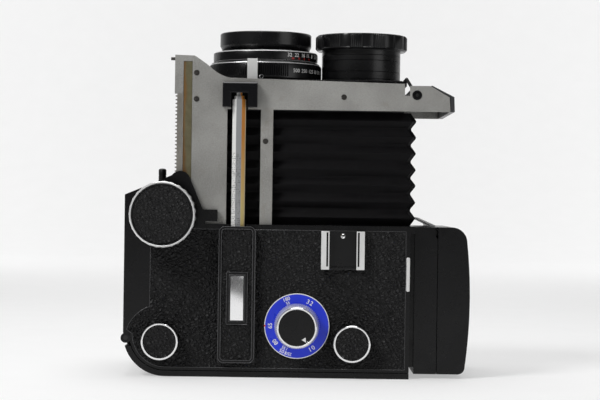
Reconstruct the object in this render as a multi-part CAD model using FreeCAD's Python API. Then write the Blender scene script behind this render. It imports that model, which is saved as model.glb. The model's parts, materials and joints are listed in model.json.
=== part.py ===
"""Twin lens reflex camera with an interchangeable lens board and bellows focusing.

The camera stands on its back with its lenses up.
+X points to the top of the camera (the hood), +Y to the user's right, +Z out of the lenses.
Z = 0 is the outer face of the back door, and X = Y = 0 is the middle of the whole outline.
"""
import FreeCAD, Part
import math
import os

# ---------------------------------------------------------------- driving dimensions, mm

# Main body
BASE_X = -87.6          # outer face of the base
TOP_X = 55.5            # outer face of the top deck, under the hood
HALF_WIDTH = 43.0       # body side faces at Y = -43 and +43
FRONT_Z = 76.4          # front face, where the bellows start
WALL = 2.9              # shell wall at the sides
WALL_ENDS = 2.6         # shell wall at the base and under the hood
CLEAR = 0.3             # gap between pieces that move past each other
FIT = 0.05              # running fit of a shaft in its bore, on the radius

# Back door, hinged at the base end
DOOR_THICK = 2.9
CORNER_R = 21.1         # rounded corner between back and base
CORNER_X = BASE_X + CORNER_R
HINGE_X = -86.4
HINGE_Z = 18.8
KNUCKLE_R = 2.5
HINGE_PIN_R = 1.2

BACK_SKIN_X = (-62.0, 36.0)
BACK_SKIN_HALF = 39.0
PLATE_POSTS_X = (-44.0, 6.0)    # guide posts of the pressure plate
PLATE_POSTS_Y = (-24.0, 24.0)

# Leatherette skins lie in shallow pockets
SKIN_THICK = 0.9
SKIN_POCKET = 1.0

# Rails of the front standard run between the shell and the film chamber
RAIL_IN = 37.6
RAIL_OUT = 39.6
RAIL_BOTTOM = 71.0
CHAMBER_HALF = 37.1     # outer side faces of the film chamber
CHAMBER_WALL = 2.5
STANDARD_LOW_Z = 134.2  # lower edge of the standard's side plates

# Film path
SPOOL_LOW_X = -68.8
SPOOL_HIGH_X = 26.8
SPOOL_Z = 17.8
SPOOL_FLANGE_R = 12.4
SPOOL_CORE_R = 5.8
SPOOL_HALF_LENGTH = 31.5
SPINDLE_R = 3.2
GATE_Z = 6.8            # film plane
FRAME = 56.0            # picture size

CRANK_PIVOT_Y = 53.6
CRANK_PIVOT_Z = SPOOL_Z - 10.0
CRANK_PIN_R = 1.2

# Tripod socket in the base
SOCKET_Z = 38.0
SOCKET_BORE_R = 3.18
SOCKET_OUT_R = 6.0

# Light baffle
BAFFLE_X = -47.6
BAFFLE_Z = 12.4
BAFFLE_R = 1.2

# Lenses
BARREL_R = 22.0
TAKING_X = -19.0
VIEWING_X = 31.0
BOARD_BACK_Z = 147.0
BOARD_FRONT_Z = 149.6
PLATE_X = (-48.0, 52.0)     # both ends of the front plate behind the lens board
PLATE_THICK = 3.0
LENS_TOP_Z = 175.2

# Focus drive: rack and pinion
PINION_X = -67.8
PINION_Z = 81.0
PINION_TEETH = 17
PITCH_R = 5.1
TOOTH_PITCH = 2 * math.pi * PITCH_R / PINION_TEETH
SHAFT_R = 3.0
FOCUS_KNOB_R = 16.6
FOCUS_KNOB_OUT = 58.0   # outer face of each focus knob
SCALLOPS = 27

RACK_TIP_X = -63.2
RACK_ROOT_X = -62.3
RACK_BACK_X = -59.6
RACK_TOP_Z = 141.6

# Front standard fixings: screw places on each side plate, and the lens bail's pivot
SCREW_PLACES = ((-52.7, 152.2), (-52.6, 139.0), (-17.7, 118.2), (21.4, 140.9))
BAIL_X = 58.1
BAIL_Z = 142.4
BAIL_R = 0.8

# Scale rod
ROD_X = -31.0
ROD_Y = -41.4
ROD_R = 3.6             # across corners
ROD_TOP = 139.0
ROD_BOTTOM = 62.0
ROD_SPACE = 4.2         # half width of the channel it sinks into

# Lock dial
DIAL_X = -0.7
DIAL_Z = 26.0
DIAL_RING_R = 16.3
DIAL_KNOB_R = 10.3
DIAL_STEM_R = 4.0

# Shutter release plunger
RELEASE_X = -74.5
RELEASE_Y = 30.0
RELEASE_R = 2.1

# Raised channel cover and accessory shoe on the left side
BAND_LOW_X = -40.1
BAND_HIGH_X = -21.9
BAND_LOW_Z = 7.4
BAND_HIGH_Z = 75.4
BAND_OUT = -46.6
WINDOW_X = (-34.7, -26.9)   # bright plate in the cover
WINDOW_Z = (27.9, 51.3)
SHOE_LOW_X = 10.9
SHOE_HIGH_X = 32.6
SHOE_LOW_Z = 54.5
SHOE_HIGH_Z = 73.7

# Hood, folded
HOOD_BACK_Z = 2.2
HOOD_FRONT_Z = 76.2
HOOD_HALF = 36.5
HOOD_BASE_X = 58.2
HOOD_SPLIT_X = 69.6     # the lid closes on this plane
LID_TOP_X = 86.2
LID_HINGE_X = 73.0
LID_HINGE_Z = 73.4
LID_SWING_R = 4.6       # hollow cleared for the lid's front corner as it opens
OUTLINE_X = 88.9        # furthest point at both ends, hinge knuckle and lid button
LEAF_X = 72.4
LEAF_HINGE_Y = 33.6
LEAF_PIN_R = 0.5
REAR_LEAF_X = 70.9
REAR_LEAF_Z = 7.8
MAGNIFIER_X = 80.6
MAGNIFIER_Z = LID_HINGE_Z - 36.0
BUTTON_Z = 32.8
BUTTON_R = 2.2


# ---------------------------------------------------------------- geometry helpers

def vec(x, y, z):
    return FreeCAD.Vector(x, y, z)


def box(x0, x1, y0, y1, z0, z1):
    """Block between two opposite corners."""
    return Part.makeBox(x1 - x0, y1 - y0, z1 - z0, vec(x0, y0, z0))


def rod_x(y, z, radius, x0, x1):
    return Part.makeCylinder(radius, x1 - x0, vec(x0, y, z), vec(1, 0, 0))


def rod_y(x, z, radius, y0, y1):
    return Part.makeCylinder(radius, y1 - y0, vec(x, y0, z), vec(0, 1, 0))


def rod_z(x, y, radius, z0, z1):
    return Part.makeCylinder(radius, z1 - z0, vec(x, y, z0), vec(0, 0, 1))


def outline_face(points, place):
    """Flat face from outline points.

    A plain pair is a corner. A four-number entry is an arc through its first pair to its
    second pair. place turns a pair into a point in space.
    """
    edges = []
    start = points[0]
    here = start
    for item in list(points[1:]) + [start]:
        end = item[-2:]
        if math.dist(here[-2:], end) < 1e-6:
            continue
        if len(item) == 4:
            edges.append(Part.Arc(place(*here[-2:]), place(*item[:2]), place(*end)).toShape())
        else:
            edges.append(Part.LineSegment(place(*here[-2:]), place(*end)).toShape())
        here = end
    return Part.Face(Part.Wire(edges))


def slab_y(points, y0, y1):
    """Outline in X and Z, thickened from y0 to y1."""
    face = outline_face(points, lambda x, z: vec(x, y0, z))
    return face.extrude(vec(0, y1 - y0, 0))


def slab_x(points, x0, x1):
    """Outline in Y and Z, thickened from x0 to x1."""
    face = outline_face(points, lambda y, z: vec(x0, y, z))
    return face.extrude(vec(x1 - x0, 0, 0))


def slab_z(points, z0, z1):
    """Outline in X and Y, thickened from z0 to z1."""
    face = outline_face(points, lambda x, y: vec(x, y, z0))
    return face.extrude(vec(0, 0, z1 - z0))


def turned_z(x, y, profile):
    """Solid of revolution about the vertical line through x, y; profile is (radius, z)."""
    face = outline_face(profile, lambda r, z: vec(x + r, y, z))
    return face.revolve(vec(x, y, 0), vec(0, 0, 1), 360)


def turned_y(x, z, profile):
    """Solid of revolution about the line through x, z along Y; profile is (radius, y)."""
    face = outline_face(profile, lambda r, y: vec(x + r, y, z))
    return face.revolve(vec(x, 0, z), vec(0, 1, 0), 360)


def ring_profile(inner, outer, low, high, bevel=0.0):
    """Section of a ring, with its two outer edges bevelled."""
    return [(inner, low), (outer - bevel, low), (outer, low + bevel),
            (outer, high - bevel), (outer - bevel, high), (inner, high)]


def dome(radius, rim, crown):
    """Arc entry of a spherical cap, from its rim at this radius to the top on the axis."""
    height = crown - rim
    sphere = (radius ** 2 + height ** 2) / (2 * height)
    half = math.asin(radius / sphere) / 2
    return (sphere * math.sin(half), crown - sphere * (1 - math.cos(half)), 0, crown)


def scalloped_y(x, z, radius, count, depth, y0, y1):
    """Knob rim along Y whose edge is a row of round lobes."""
    points = []
    step = 2 * math.pi / count
    for index in range(count):
        start = index * step
        low = radius - depth
        if index == 0:
            points.append((x + low, z))
        middle = start + step / 2
        end = start + step
        points.append((x + radius * math.cos(middle), z + radius * math.sin(middle),
                       x + low * math.cos(end), z + low * math.sin(end)))
    return slab_y(points, y0, y1)


def mirrored(shape):
    """The same piece on the other side of the camera."""
    return shape.mirror(vec(0, 0, 0), vec(0, 1, 0))


def both_sides(shape):
    return Part.makeCompound([shape, mirrored(shape)])


def group(shapes):
    """Separate solids kept as one node."""
    return Part.makeCompound(shapes)


def cheese_head_y(x, z, face_y, out, radius, height):
    """Slotted screw head on a side face; out is -1 or +1 for the side it stands on."""
    low, high = sorted((face_y, face_y + out * height))
    head = rod_y(x, z, radius, low, high)
    slot_low, slot_high = sorted((face_y + out * height * 0.5, face_y + out * (height + 1)))
    return head.cut(box(x - radius, x + radius, slot_low, slot_high, z - 0.18, z + 0.18))


PARTS = {}


def node(name, shape):
    """Keep a finished piece under the name of its node."""
    PARTS[name] = shape


# ---------------------------------------------------------------- body shell

def corner_outline(offset):
    """Back and base outline of the body, moved inwards by offset from the outer corner."""
    radius = CORNER_R - offset
    slant = radius * math.sqrt(0.5)
    return [(CORNER_X, offset),
            (CORNER_X - slant, CORNER_R - slant, CORNER_X - radius, CORNER_R)]


def side_profile():
    """Side wall outline inside the door, up to the front face."""
    inner = corner_outline(DOOR_THICK + CLEAR)
    return inner + [(CORNER_X - CORNER_R + DOOR_THICK + CLEAR, HINGE_Z + 2.8),
                    (BASE_X, HINGE_Z + 2.8), (BASE_X, FRONT_Z),
                    (TOP_X + 2.3, FRONT_Z), (TOP_X + 2.3, FRONT_Z - 3.4),
                    (TOP_X, FRONT_Z - 3.4), (TOP_X, DOOR_THICK + CLEAR)]


def skin_outline(shrink):
    """Leather field on the side wall, made smaller all round by shrink.

    It follows the rounded corner of the back, then sweeps round the lower spool knob and
    leaves the lower front of the side smooth.
    """
    left = -74.5 + shrink
    right = 53.4 - shrink
    high = 73.9 - shrink
    radius = CORNER_R - DOOR_THICK - CLEAR - 1.4 - shrink
    slant = radius * math.sqrt(0.5)
    low = CORNER_R - radius
    sweep = 17.9 - shrink
    return [(left, high), (right, high), (right, low), (CORNER_X, low),
            (CORNER_X - slant, CORNER_R - slant, CORNER_X - radius, CORNER_R),
            (SPOOL_LOW_X - sweep * math.cos(0.3), SPOOL_Z + sweep * math.sin(0.3)),
            (SPOOL_LOW_X - sweep * math.cos(0.78), SPOOL_Z + sweep * math.sin(0.78),
             left, SPOOL_Z + math.sqrt(sweep ** 2 - (left - SPOOL_LOW_X) ** 2))]


def round_hole_y(x, z, radius, side):
    """Cutter through one side of the body; side is -1 for left and +1 for right."""
    low, high = sorted((side * 30.0, side * 50.0))
    return rod_y(x, z, radius, low, high)


def side_openings():
    """Cutters for the spindles that pass through the shell, chamber and skins."""
    return {
        "left": [round_hole_y(SPOOL_LOW_X, SPOOL_Z, SPINDLE_R + FIT, -1),
                 round_hole_y(SPOOL_HIGH_X, SPOOL_Z, SPINDLE_R + FIT, -1),
                 round_hole_y(DIAL_X, DIAL_Z, DIAL_STEM_R + FIT, -1)],
        "right": [round_hole_y(SPOOL_HIGH_X, SPOOL_Z, SPINDLE_R + FIT, 1)],
    }


def rail_slots():
    """Space for the rails, pinions and bellows in the front of the body."""
    inner = CHAMBER_HALF + 0.1
    outer = HALF_WIDTH - WALL
    slots = []
    for low, high in ((-outer, -inner), (inner, outer)):
        slots.append(box(-75.0, -36.2, low, high, 16.5, FRONT_Z + 1))
        slots.append(box(-21.0, -13.2, low, high, 16.5, FRONT_Z + 1))
    return slots


def shell_walls(shell):
    """The casting as its separate walls, which meet face to face."""
    inside = HALF_WIDTH - WALL
    base_end = BASE_X + WALL_ENDS
    deck = TOP_X - WALL_ENDS
    far = 200
    regions = [box(-far, far, -far, -inside, -far, far), box(-far, far, inside, far, -far, far),
               box(-far, base_end, -inside, inside, -far, far),
               box(deck, far, -inside, inside, -far, far),
               box(base_end, deck, -inside, inside, -far, far)]
    walls = []
    for region in regions:
        walls.extend(shell.common(region).Solids)
    return group(walls)


def make_body_shell():
    shell = slab_y(side_profile(), -HALF_WIDTH, HALF_WIDTH)
    inside = HALF_WIDTH - WALL
    cavity = box(BASE_X + WALL_ENDS, TOP_X - WALL_ENDS, -inside, inside, -1, FRONT_Z - 2.4)
    shell = shell.cut(cavity)
    shell = shell.cut(box(-65.0, 56.0, -CHAMBER_HALF - 0.1, CHAMBER_HALF + 0.1,
                          FRONT_Z - 3, FRONT_Z + 1))
    for cutter in rail_slots():
        shell = shell.cut(cutter)
    shell = shell.cut(box(ROD_X - ROD_SPACE, ROD_X + ROD_SPACE, -50, -CHAMBER_HALF - 0.1, 8.0, FRONT_Z + 1))
    # window of the focusing screen in the top deck
    shell = shell.cut(box(TOP_X - 4, TOP_X + 1, -31, 31, 9.0, 71.0))
    # slot for the tongue of the back latch
    shell = shell.cut(box(TOP_X - 2.6, TOP_X - 0.9, -4.4, 4.4, 3.0, 5.4))
    shell = shell.cut(rounded_band(0.0, -50, -(HALF_WIDTH - SKIN_POCKET)))
    for side in (-1, 1):
        pocket = slab_y(skin_outline(0.0), *sorted((side * (HALF_WIDTH - SKIN_POCKET), side * 50)))
        shell = shell.cut(pocket)
    for side_cutters in side_openings().values():
        for cutter in side_cutters:
            shell = shell.cut(cutter)
    for low, high in ((-42.0, -24.2), (24.2, 42.0)):
        knuckle = rod_y(HINGE_X, HINGE_Z, KNUCKLE_R, low, high)
        knuckle = knuckle.fuse(box(BASE_X, HINGE_X + 1.6, low, high, HINGE_Z, HINGE_Z + 4.0))
        shell = shell.fuse(knuckle)
        shell = shell.cut(rod_y(HINGE_X, HINGE_Z, HINGE_PIN_R, low - 1, high + 1))
    shell = shell.cut(rod_x(0, SOCKET_Z, SOCKET_OUT_R, BASE_X - 1, BASE_X + 5))
    return shell_walls(shell.removeSplitter())


def make_film_chamber():
    """Inner casting: side walls, light box, film gate and bellows flange."""
    inner = CHAMBER_HALF - CHAMBER_WALL
    walls = []
    for low, high in ((-CHAMBER_HALF, -inner), (inner, CHAMBER_HALF)):
        wall = slab_y([(-84.6, 24.0), (-84.6, FRONT_Z - 2.6), (52.8, FRONT_Z - 2.6), (52.8, 5.0),
                       (-66.0, 5.0), (-78.5, 9.5, -84.0, 21.1)], low, high)
        walls.append(wall)
    chamber = walls[0]
    light_low, light_high = TAKING_X - FRAME / 2 - 4, TAKING_X + FRAME / 2 + 4
    pieces = [walls[1],
              box(light_low, light_low + 2, -inner, inner, GATE_Z + 3, FRONT_Z - 2.6),
              box(light_high - 2, light_high, -inner, inner, GATE_Z + 3, 54.0),
              box(light_low, light_high, -inner, inner, GATE_Z, GATE_Z + 3)]
    flange = box(-64.8, 55.8, -CHAMBER_HALF, CHAMBER_HALF, FRONT_Z - 2.6, FRONT_Z - 0.2)
    flange = flange.cut(box(-46.0, 52.0, -32.5, 32.5, FRONT_Z - 4, FRONT_Z + 1))
    pieces.append(flange)
    for piece in pieces:
        chamber = chamber.fuse(piece)
    half = FRAME / 2
    chamber = chamber.cut(box(TAKING_X - half, TAKING_X + half, -half, half, GATE_Z - 1, GATE_Z + 4))
    # fixed pins that carry the right-hand end of the supply spool
    pin = rod_y(SPOOL_LOW_X, SPOOL_Z, SPINDLE_R - 0.1, 27.5, inner + 0.5)
    chamber = chamber.fuse(pin)
    # mirror seat: two ledges along the side walls, under the mirror's edges
    for low, high in ((-inner, -inner + 2.5), (inner - 2.5, inner)):
        ledge = slab_y([(3.6, 63.5), (5.4, 65.3), (52.2, 18.5), (50.4, 16.7)], low, high)
        chamber = chamber.fuse(ledge)
    chamber = chamber.cut(rod_y(BAFFLE_X, BAFFLE_Z, BAFFLE_R + FIT, -36.4, 36.4))
    for side_cutters in side_openings().values():
        for cutter in side_cutters:
            chamber = chamber.cut(cutter)
    return chamber.removeSplitter()


def make_mirror():
    """Surface mirror at 45 degrees, on its ledges."""
    half = CHAMBER_HALF - CHAMBER_WALL - 0.2
    return slab_y([(5.5, 65.4), (7.2, 67.1), (52.3, 22.0), (52.3, 18.6)], -half, half)


def make_front_cover():
    """Cover over the focus drive: a bent sheet across the front and a cheek at each side."""
    low = FRONT_Z
    cheek_outline = [(BASE_X, low), (BASE_X, 90.6), (-70.1, 98.0), (-64.2, 100.6),
                     (-59.6, 102.7, -55.2, 99.2), (-47.4, 80.8), (-47.4, low)]
    cover = slab_y(cheek_outline, -HALF_WIDTH, -HALF_WIDTH + 2.7)
    cover = cover.fuse(slab_y(cheek_outline, HALF_WIDTH - 2.7, HALF_WIDTH))
    sheet_outline = [(BASE_X, low), (BASE_X, 90.6), (-70.1, 98.0), (-66.0, 99.8),
                     (-65.2, 98.0), (-85.4, 89.2), (-85.4, low)]
    cover = cover.fuse(slab_y(sheet_outline, -HALF_WIDTH, HALF_WIDTH))
    # stop block beside the left rail
    cover = cover.fuse(box(-49.0, -41.2, -HALF_WIDTH, -HALF_WIDTH + 2.7, FRONT_Z + 1.4, 83.6))
    cover = cover.cut(rod_y(PINION_X, PINION_Z, SHAFT_R + FIT, -50, 50))
    cover = cover.cut(rod_z(RELEASE_X, RELEASE_Y, RELEASE_R + FIT, 80, 110))
    return cover.removeSplitter()


def make_release_plunger():
    """Shutter release: a stem through the front cover, with a domed cap."""
    top = 105.0
    profile = [(0, 90.0), (RELEASE_R, 90.0), (RELEASE_R, top - 1.0),
               dome(RELEASE_R, top - 1.0, top)]
    return turned_z(RELEASE_X, RELEASE_Y, profile)


def make_skin(side):
    """Leatherette on one side wall."""
    low, high = sorted((side * (HALF_WIDTH - SKIN_POCKET), side * (HALF_WIDTH - SKIN_POCKET + SKIN_THICK)))
    skin = slab_y(skin_outline(0.05), low, high)
    for cutter in side_openings()["left" if side < 0 else "right"]:
        skin = skin.cut(cutter)
    if side < 0:
        skin = skin.cut(box(BAND_LOW_X, BAND_HIGH_X, -50, 0, BAND_LOW_Z, BAND_HIGH_Z))
        skin = skin.cut(box(SHOE_LOW_X, SHOE_HIGH_X, -50, 0, SHOE_LOW_Z, SHOE_HIGH_Z))
    return skin


def rounded_band(shrink, y0, y1):
    """Upright strip with rounded corners."""
    low_x, high_x = BAND_LOW_X + shrink, BAND_HIGH_X - shrink
    low_z, high_z = BAND_LOW_Z + shrink, BAND_HIGH_Z - shrink
    r = 3.0 - shrink
    bend = r * (1 - math.sqrt(0.5))
    return slab_y([(low_x + r, low_z), (high_x - r, low_z),
                   (high_x - bend, low_z + bend, high_x, low_z + r), (high_x, high_z - r),
                   (high_x - bend, high_z - bend, high_x - r, high_z), (low_x + r, high_z),
                   (low_x + bend, high_z - bend, low_x, high_z - r), (low_x, low_z + r),
                   (low_x + bend, low_z + bend, low_x + r, low_z)], y0, y1)


def make_channel_cover():
    """Raised cover over the channel that the scale rod sinks into."""
    seat = -(HALF_WIDTH - SKIN_POCKET)
    cover = rounded_band(0.1, BAND_OUT, seat)
    cover = cover.cut(box(ROD_X - ROD_SPACE, ROD_X + ROD_SPACE, -45.6, 0, BAND_LOW_Z + 2.0, BAND_HIGH_Z + 1))
    cover = cover.cut(box(*WINDOW_X, BAND_OUT - 1, BAND_OUT + 0.5, *WINDOW_Z))
    return cover.cut(rounded_band(1.3, BAND_OUT - 1, BAND_OUT + 0.5).cut(
        box(WINDOW_X[0] - 1.3, WINDOW_X[1] + 1.3, BAND_OUT - 2, 0,
            WINDOW_Z[0] - 1.3, WINDOW_Z[1] + 1.3)))


def make_scale_window():
    """Bright plate let into the channel cover."""
    return box(WINDOW_X[0] + FIT, WINDOW_X[1] - FIT, BAND_OUT - 0.3, BAND_OUT + 0.5,
               WINDOW_Z[0] + FIT, WINDOW_Z[1] - FIT)


def make_accessory_shoe():
    """Shoe with two folded side rails, open towards the front."""
    seat = -(HALF_WIDTH - SKIN_POCKET)
    floor = box(SHOE_LOW_X, SHOE_HIGH_X, seat - 1.6, seat, SHOE_LOW_Z, SHOE_HIGH_Z)
    shoe = floor
    for edge, lip in ((SHOE_LOW_X, SHOE_LOW_X + 4.1), (SHOE_HIGH_X, SHOE_HIGH_X - 4.1)):
        low, high = sorted((edge, lip))
        wall_low, wall_high = sorted((edge, edge + math.copysign(1.2, lip - edge)))
        shoe = shoe.fuse(box(wall_low, wall_high, seat - 5.0, seat, SHOE_LOW_Z, SHOE_HIGH_Z))
        shoe = shoe.fuse(box(low, high, seat - 5.0, seat - 3.8, SHOE_LOW_Z, SHOE_HIGH_Z))
    stop = box(SHOE_LOW_X, SHOE_HIGH_X, seat - 2.6, seat, SHOE_LOW_Z, SHOE_LOW_Z + 1.4)
    return shoe.fuse(stop).removeSplitter()


def make_strap_lugs():
    """Upright bar with two feet near the hood, one at each side."""
    x = 54.4
    bar = box(x - 0.9, x + 0.9, -HALF_WIDTH - 3.4, -HALF_WIDTH - 1.8, 44.0, 61.0)
    for z in (45.5, 59.5):
        bar = bar.fuse(box(x - 0.9, x + 0.9, -HALF_WIDTH - 2.4, -HALF_WIDTH, z - 1.5, z + 1.5))
    return both_sides(bar.removeSplitter())


def make_dial_ring():
    """Fixed lettered ring round the lock dial."""
    low = -(HALF_WIDTH + 1.2)
    high = -(HALF_WIDTH - SKIN_POCKET + SKIN_THICK)
    return turned_y(DIAL_X, DIAL_Z, ring_profile(DIAL_STEM_R + 2 * FIT, DIAL_RING_R, low, high, 0.15))


def make_tripod_socket():
    """Flanged bush with a quarter-inch thread, in the base wall."""
    depth = 9.0
    bush = rod_x(0, SOCKET_Z, SOCKET_OUT_R, BASE_X, BASE_X + 2.6)
    bush = bush.fuse(rod_x(0, SOCKET_Z, SOCKET_OUT_R + 2.5, BASE_X + 2.6, BASE_X + depth))
    return bush.cut(rod_x(0, SOCKET_Z, SOCKET_BORE_R, BASE_X - 1, BASE_X + depth - 1.5))


def make_name_plate():
    """Blank sloping plate between the bellows and the hood."""
    foot = HOOD_FRONT_Z + 0.1
    return slab_y([(59.9, foot + 4.0), (60.3, foot + 4.6), (69.3, foot + 0.7), (69.3, foot),
                   (66.3, foot), (66.3, foot + 0.9)], -23.5, 23.5)


# ---------------------------------------------------------------- back door

def make_back_door():
    """Flat back with a rounded corner at the base and one hinge knuckle in the middle."""
    low = 15.0
    rise = CORNER_R - low
    inner = CORNER_R - DOOR_THICK
    outer_end = CORNER_X - math.sqrt(CORNER_R ** 2 - rise ** 2)
    inner_end = CORNER_X - math.sqrt(inner ** 2 - rise ** 2)
    outer_mid = CORNER_R * math.sqrt(0.5)
    inner_mid = inner * math.sqrt(0.5)
    door = slab_y([(TOP_X, 0), (CORNER_X, 0),
                   (CORNER_X - outer_mid, CORNER_R - outer_mid, outer_end, low),
                   (inner_end, low),
                   (CORNER_X - inner_mid, CORNER_R - inner_mid, CORNER_X, DOOR_THICK),
                   (TOP_X, DOOR_THICK)], -HALF_WIDTH, HALF_WIDTH)
    middle = 23.9
    door = door.fuse(rod_y(HINGE_X, HINGE_Z, KNUCKLE_R, -middle, middle))
    door = door.fuse(box(BASE_X + 0.3, BASE_X + 2.6, -middle, middle, low - 1, HINGE_Z))
    door = door.cut(rod_y(HINGE_X, HINGE_Z, HINGE_PIN_R + FIT, -middle - 1, middle + 1))
    door = door.cut(box(*BACK_SKIN_X, -BACK_SKIN_HALF, BACK_SKIN_HALF, -1, SKIN_POCKET))
    # pocket and slot for the latch
    door = door.cut(box(39.0, 52.5, -7.3, 7.3, -1, 1.9))
    door = door.cut(box(43.0, 51.0, -4.3, 4.3, -1, DOOR_THICK + 1))
    for x in PLATE_POSTS_X:
        for y in PLATE_POSTS_Y:
            door = door.fuse(rod_z(x, y, 1.5, DOOR_THICK, 6.0))
    return door.removeSplitter()


def make_back_skin():
    """Leatherette on the back door."""
    low_x, high_x = BACK_SKIN_X
    side = BACK_SKIN_HALF - 0.05
    return box(low_x + 0.05, high_x - 0.05, -side, side, SKIN_POCKET - SKIN_THICK, SKIN_POCKET)


def make_hinge_pin():
    return rod_y(HINGE_X, HINGE_Z, HINGE_PIN_R, -42.0, 42.0)


def make_pressure_plate():
    """Plate that holds the film against the gate, guided by four posts."""
    plate = box(-51.0, 13.0, -32.5, 32.5, 4.9, 6.5)
    for x in PLATE_POSTS_X:
        for y in PLATE_POSTS_Y:
            plate = plate.cut(rod_z(x, y, 1.5 + FIT, 4, 8))
    return plate


def make_back_latch():
    """Finger slide in the back door with a hooked tongue."""
    latch = box(41.8, 52.0, -7.0, 7.0, 0.4, 1.7)
    latch = latch.fuse(box(46.6, 50.4, -4.0, 4.0, 1.7, 5.0))
    latch = latch.fuse(box(50.4, 54.2, -4.0, 4.0, 3.5, 5.0))
    for x in (43.0, 44.6, 46.2):
        latch = latch.cut(box(x, x + 0.7, -5.5, 5.5, 0, 0.8))
    return latch.removeSplitter()


# ---------------------------------------------------------------- film transport

def make_spool(x):
    """Empty roll film spool with a bore at each end."""
    half = SPOOL_HALF_LENGTH
    bore = SPINDLE_R + FIT
    profile = [(0, -25.0), (bore, -25.0), (bore, -half), (SPOOL_FLANGE_R, -half),
               (SPOOL_FLANGE_R, -half + 1.2), (SPOOL_CORE_R, -half + 1.2),
               (SPOOL_CORE_R, half - 1.2), (SPOOL_FLANGE_R, half - 1.2),
               (SPOOL_FLANGE_R, half), (bore, half), (bore, 25.0), (0, 25.0)]
    return turned_y(x, SPOOL_Z, profile)


def make_spool_knob(x):
    """Pull-out knob whose spindle holds the left end of a spool."""
    face = -51.0
    profile = [(0, -28.0), (SPINDLE_R, -28.0), (SPINDLE_R, -43.4), (9.5, -43.4),
               (9.5, face + 1.2), (8.9, face + 0.6), (8.9, face), (8.1, face),
               (8.1, face + 0.3), (0, face + 0.3)]
    return turned_y(x, SPOOL_Z, profile)


def make_advance_knob():
    """Film advance knob on the right, with two ears for the crank."""
    x = SPOOL_HIGH_X
    face = 51.4
    knob = turned_y(x, SPOOL_Z, [(0, 28.0), (SPINDLE_R, 28.0), (SPINDLE_R, 43.4), (14.5, 43.4),
                                 (14.5, face - 0.8), (13.7, face), (0, face)])
    for low, high in ((x - 5.3, x - 3.3), (x + 3.3, x + 5.3)):
        ear = box(low, high, face, CRANK_PIVOT_Y + 1.8, CRANK_PIVOT_Z - 2.0, CRANK_PIVOT_Z + 2.0)
        knob = knob.fuse(ear)
    pin = rod_x(CRANK_PIVOT_Y, CRANK_PIVOT_Z, CRANK_PIN_R, x - 4.0, x + 4.0)
    return knob.fuse(pin).removeSplitter()


def make_advance_crank():
    """Crank lever that folds flat over the advance knob."""
    x = SPOOL_HIGH_X
    lever = box(x - 3.0, x + 3.0, 52.3, 54.9, CRANK_PIVOT_Z - 1.6, CRANK_PIVOT_Z + 21.0)
    lever = lever.fuse(rod_y(x, CRANK_PIVOT_Z + 18.0, 2.4, 54.9, 57.4))
    lever = lever.cut(rod_x(CRANK_PIVOT_Y, CRANK_PIVOT_Z, CRANK_PIN_R + FIT, x - 4, x + 4))
    return lever.removeSplitter()


# ---------------------------------------------------------------- lock dial and light baffle

def make_lock_dial():
    """Knob that unlocks the lens board and lowers the light baffle."""
    low = -(HALF_WIDTH + 1.4)
    face = -57.0
    profile = [(0, -36.0), (DIAL_STEM_R, -36.0), (DIAL_STEM_R, low), (DIAL_KNOB_R, low),
               (DIAL_KNOB_R, face + 0.8), (DIAL_KNOB_R - 0.8, face), (0, face)]
    return turned_y(DIAL_X, DIAL_Z, profile)


def make_light_baffle():
    """Flap that stands beside the light box and folds down over the film gate."""
    half = CHAMBER_HALF - CHAMBER_WALL - 0.6
    flap = box(BAFFLE_X - 0.5, BAFFLE_X + 0.5, -half, half, BAFFLE_Z, BAFFLE_Z + 54.0)
    return flap.fuse(rod_y(BAFFLE_X, BAFFLE_Z, BAFFLE_R, -half - 2.0, half + 2.0)).removeSplitter()


# ---------------------------------------------------------------- focus drive

def gear_outline(x, z):
    """Pinion teeth as slim trapezoids round their root circle."""
    root = 4.3
    tip = PITCH_R + 0.3
    points = []
    for index in range(PINION_TEETH):
        angle = 2 * math.pi * index / PINION_TEETH
        for radius, side in ((root, -0.55), (tip, -0.2), (tip, 0.2), (root, 0.55)):
            along = (math.cos(angle), math.sin(angle))
            points.append((x + radius * along[0] - side * along[1],
                           z + radius * along[1] + side * along[0]))
    return points


def make_focus_shaft():
    """Cross shaft with a pinion for each rack."""
    shaft = rod_y(PINION_X, PINION_Z, SHAFT_R, -50.0, 50.0)
    teeth = gear_outline(PINION_X, PINION_Z)
    for low, high in ((-RAIL_OUT, -RAIL_IN), (RAIL_IN, RAIL_OUT)):
        shaft = shaft.fuse(slab_y(teeth, low, high))
    return shaft.removeSplitter()


def make_focus_knob():
    """Left focus knob: scalloped rim, plain ring and a shallow seat for its grip disc."""
    back = -43.8
    rim_front = -FOCUS_KNOB_OUT + 1.4
    rim = scalloped_y(PINION_X, PINION_Z, FOCUS_KNOB_R, SCALLOPS, 0.6, rim_front, back)
    ring = rod_y(PINION_X, PINION_Z, 16.0, -FOCUS_KNOB_OUT, rim_front)
    knob = rim.fuse(ring)
    knob = knob.cut(rod_y(PINION_X, PINION_Z, 14.6, -FOCUS_KNOB_OUT - 1, -FOCUS_KNOB_OUT + 1.0))
    return knob.cut(rod_y(PINION_X, PINION_Z, SHAFT_R, -50.0, -43))


def make_grip_discs():
    """Leatherette disc in each focus knob."""
    low = -FOCUS_KNOB_OUT + 0.2
    return both_sides(rod_y(PINION_X, PINION_Z, 14.55, low, -FOCUS_KNOB_OUT + 1.0))


# ---------------------------------------------------------------- front standard

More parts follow.
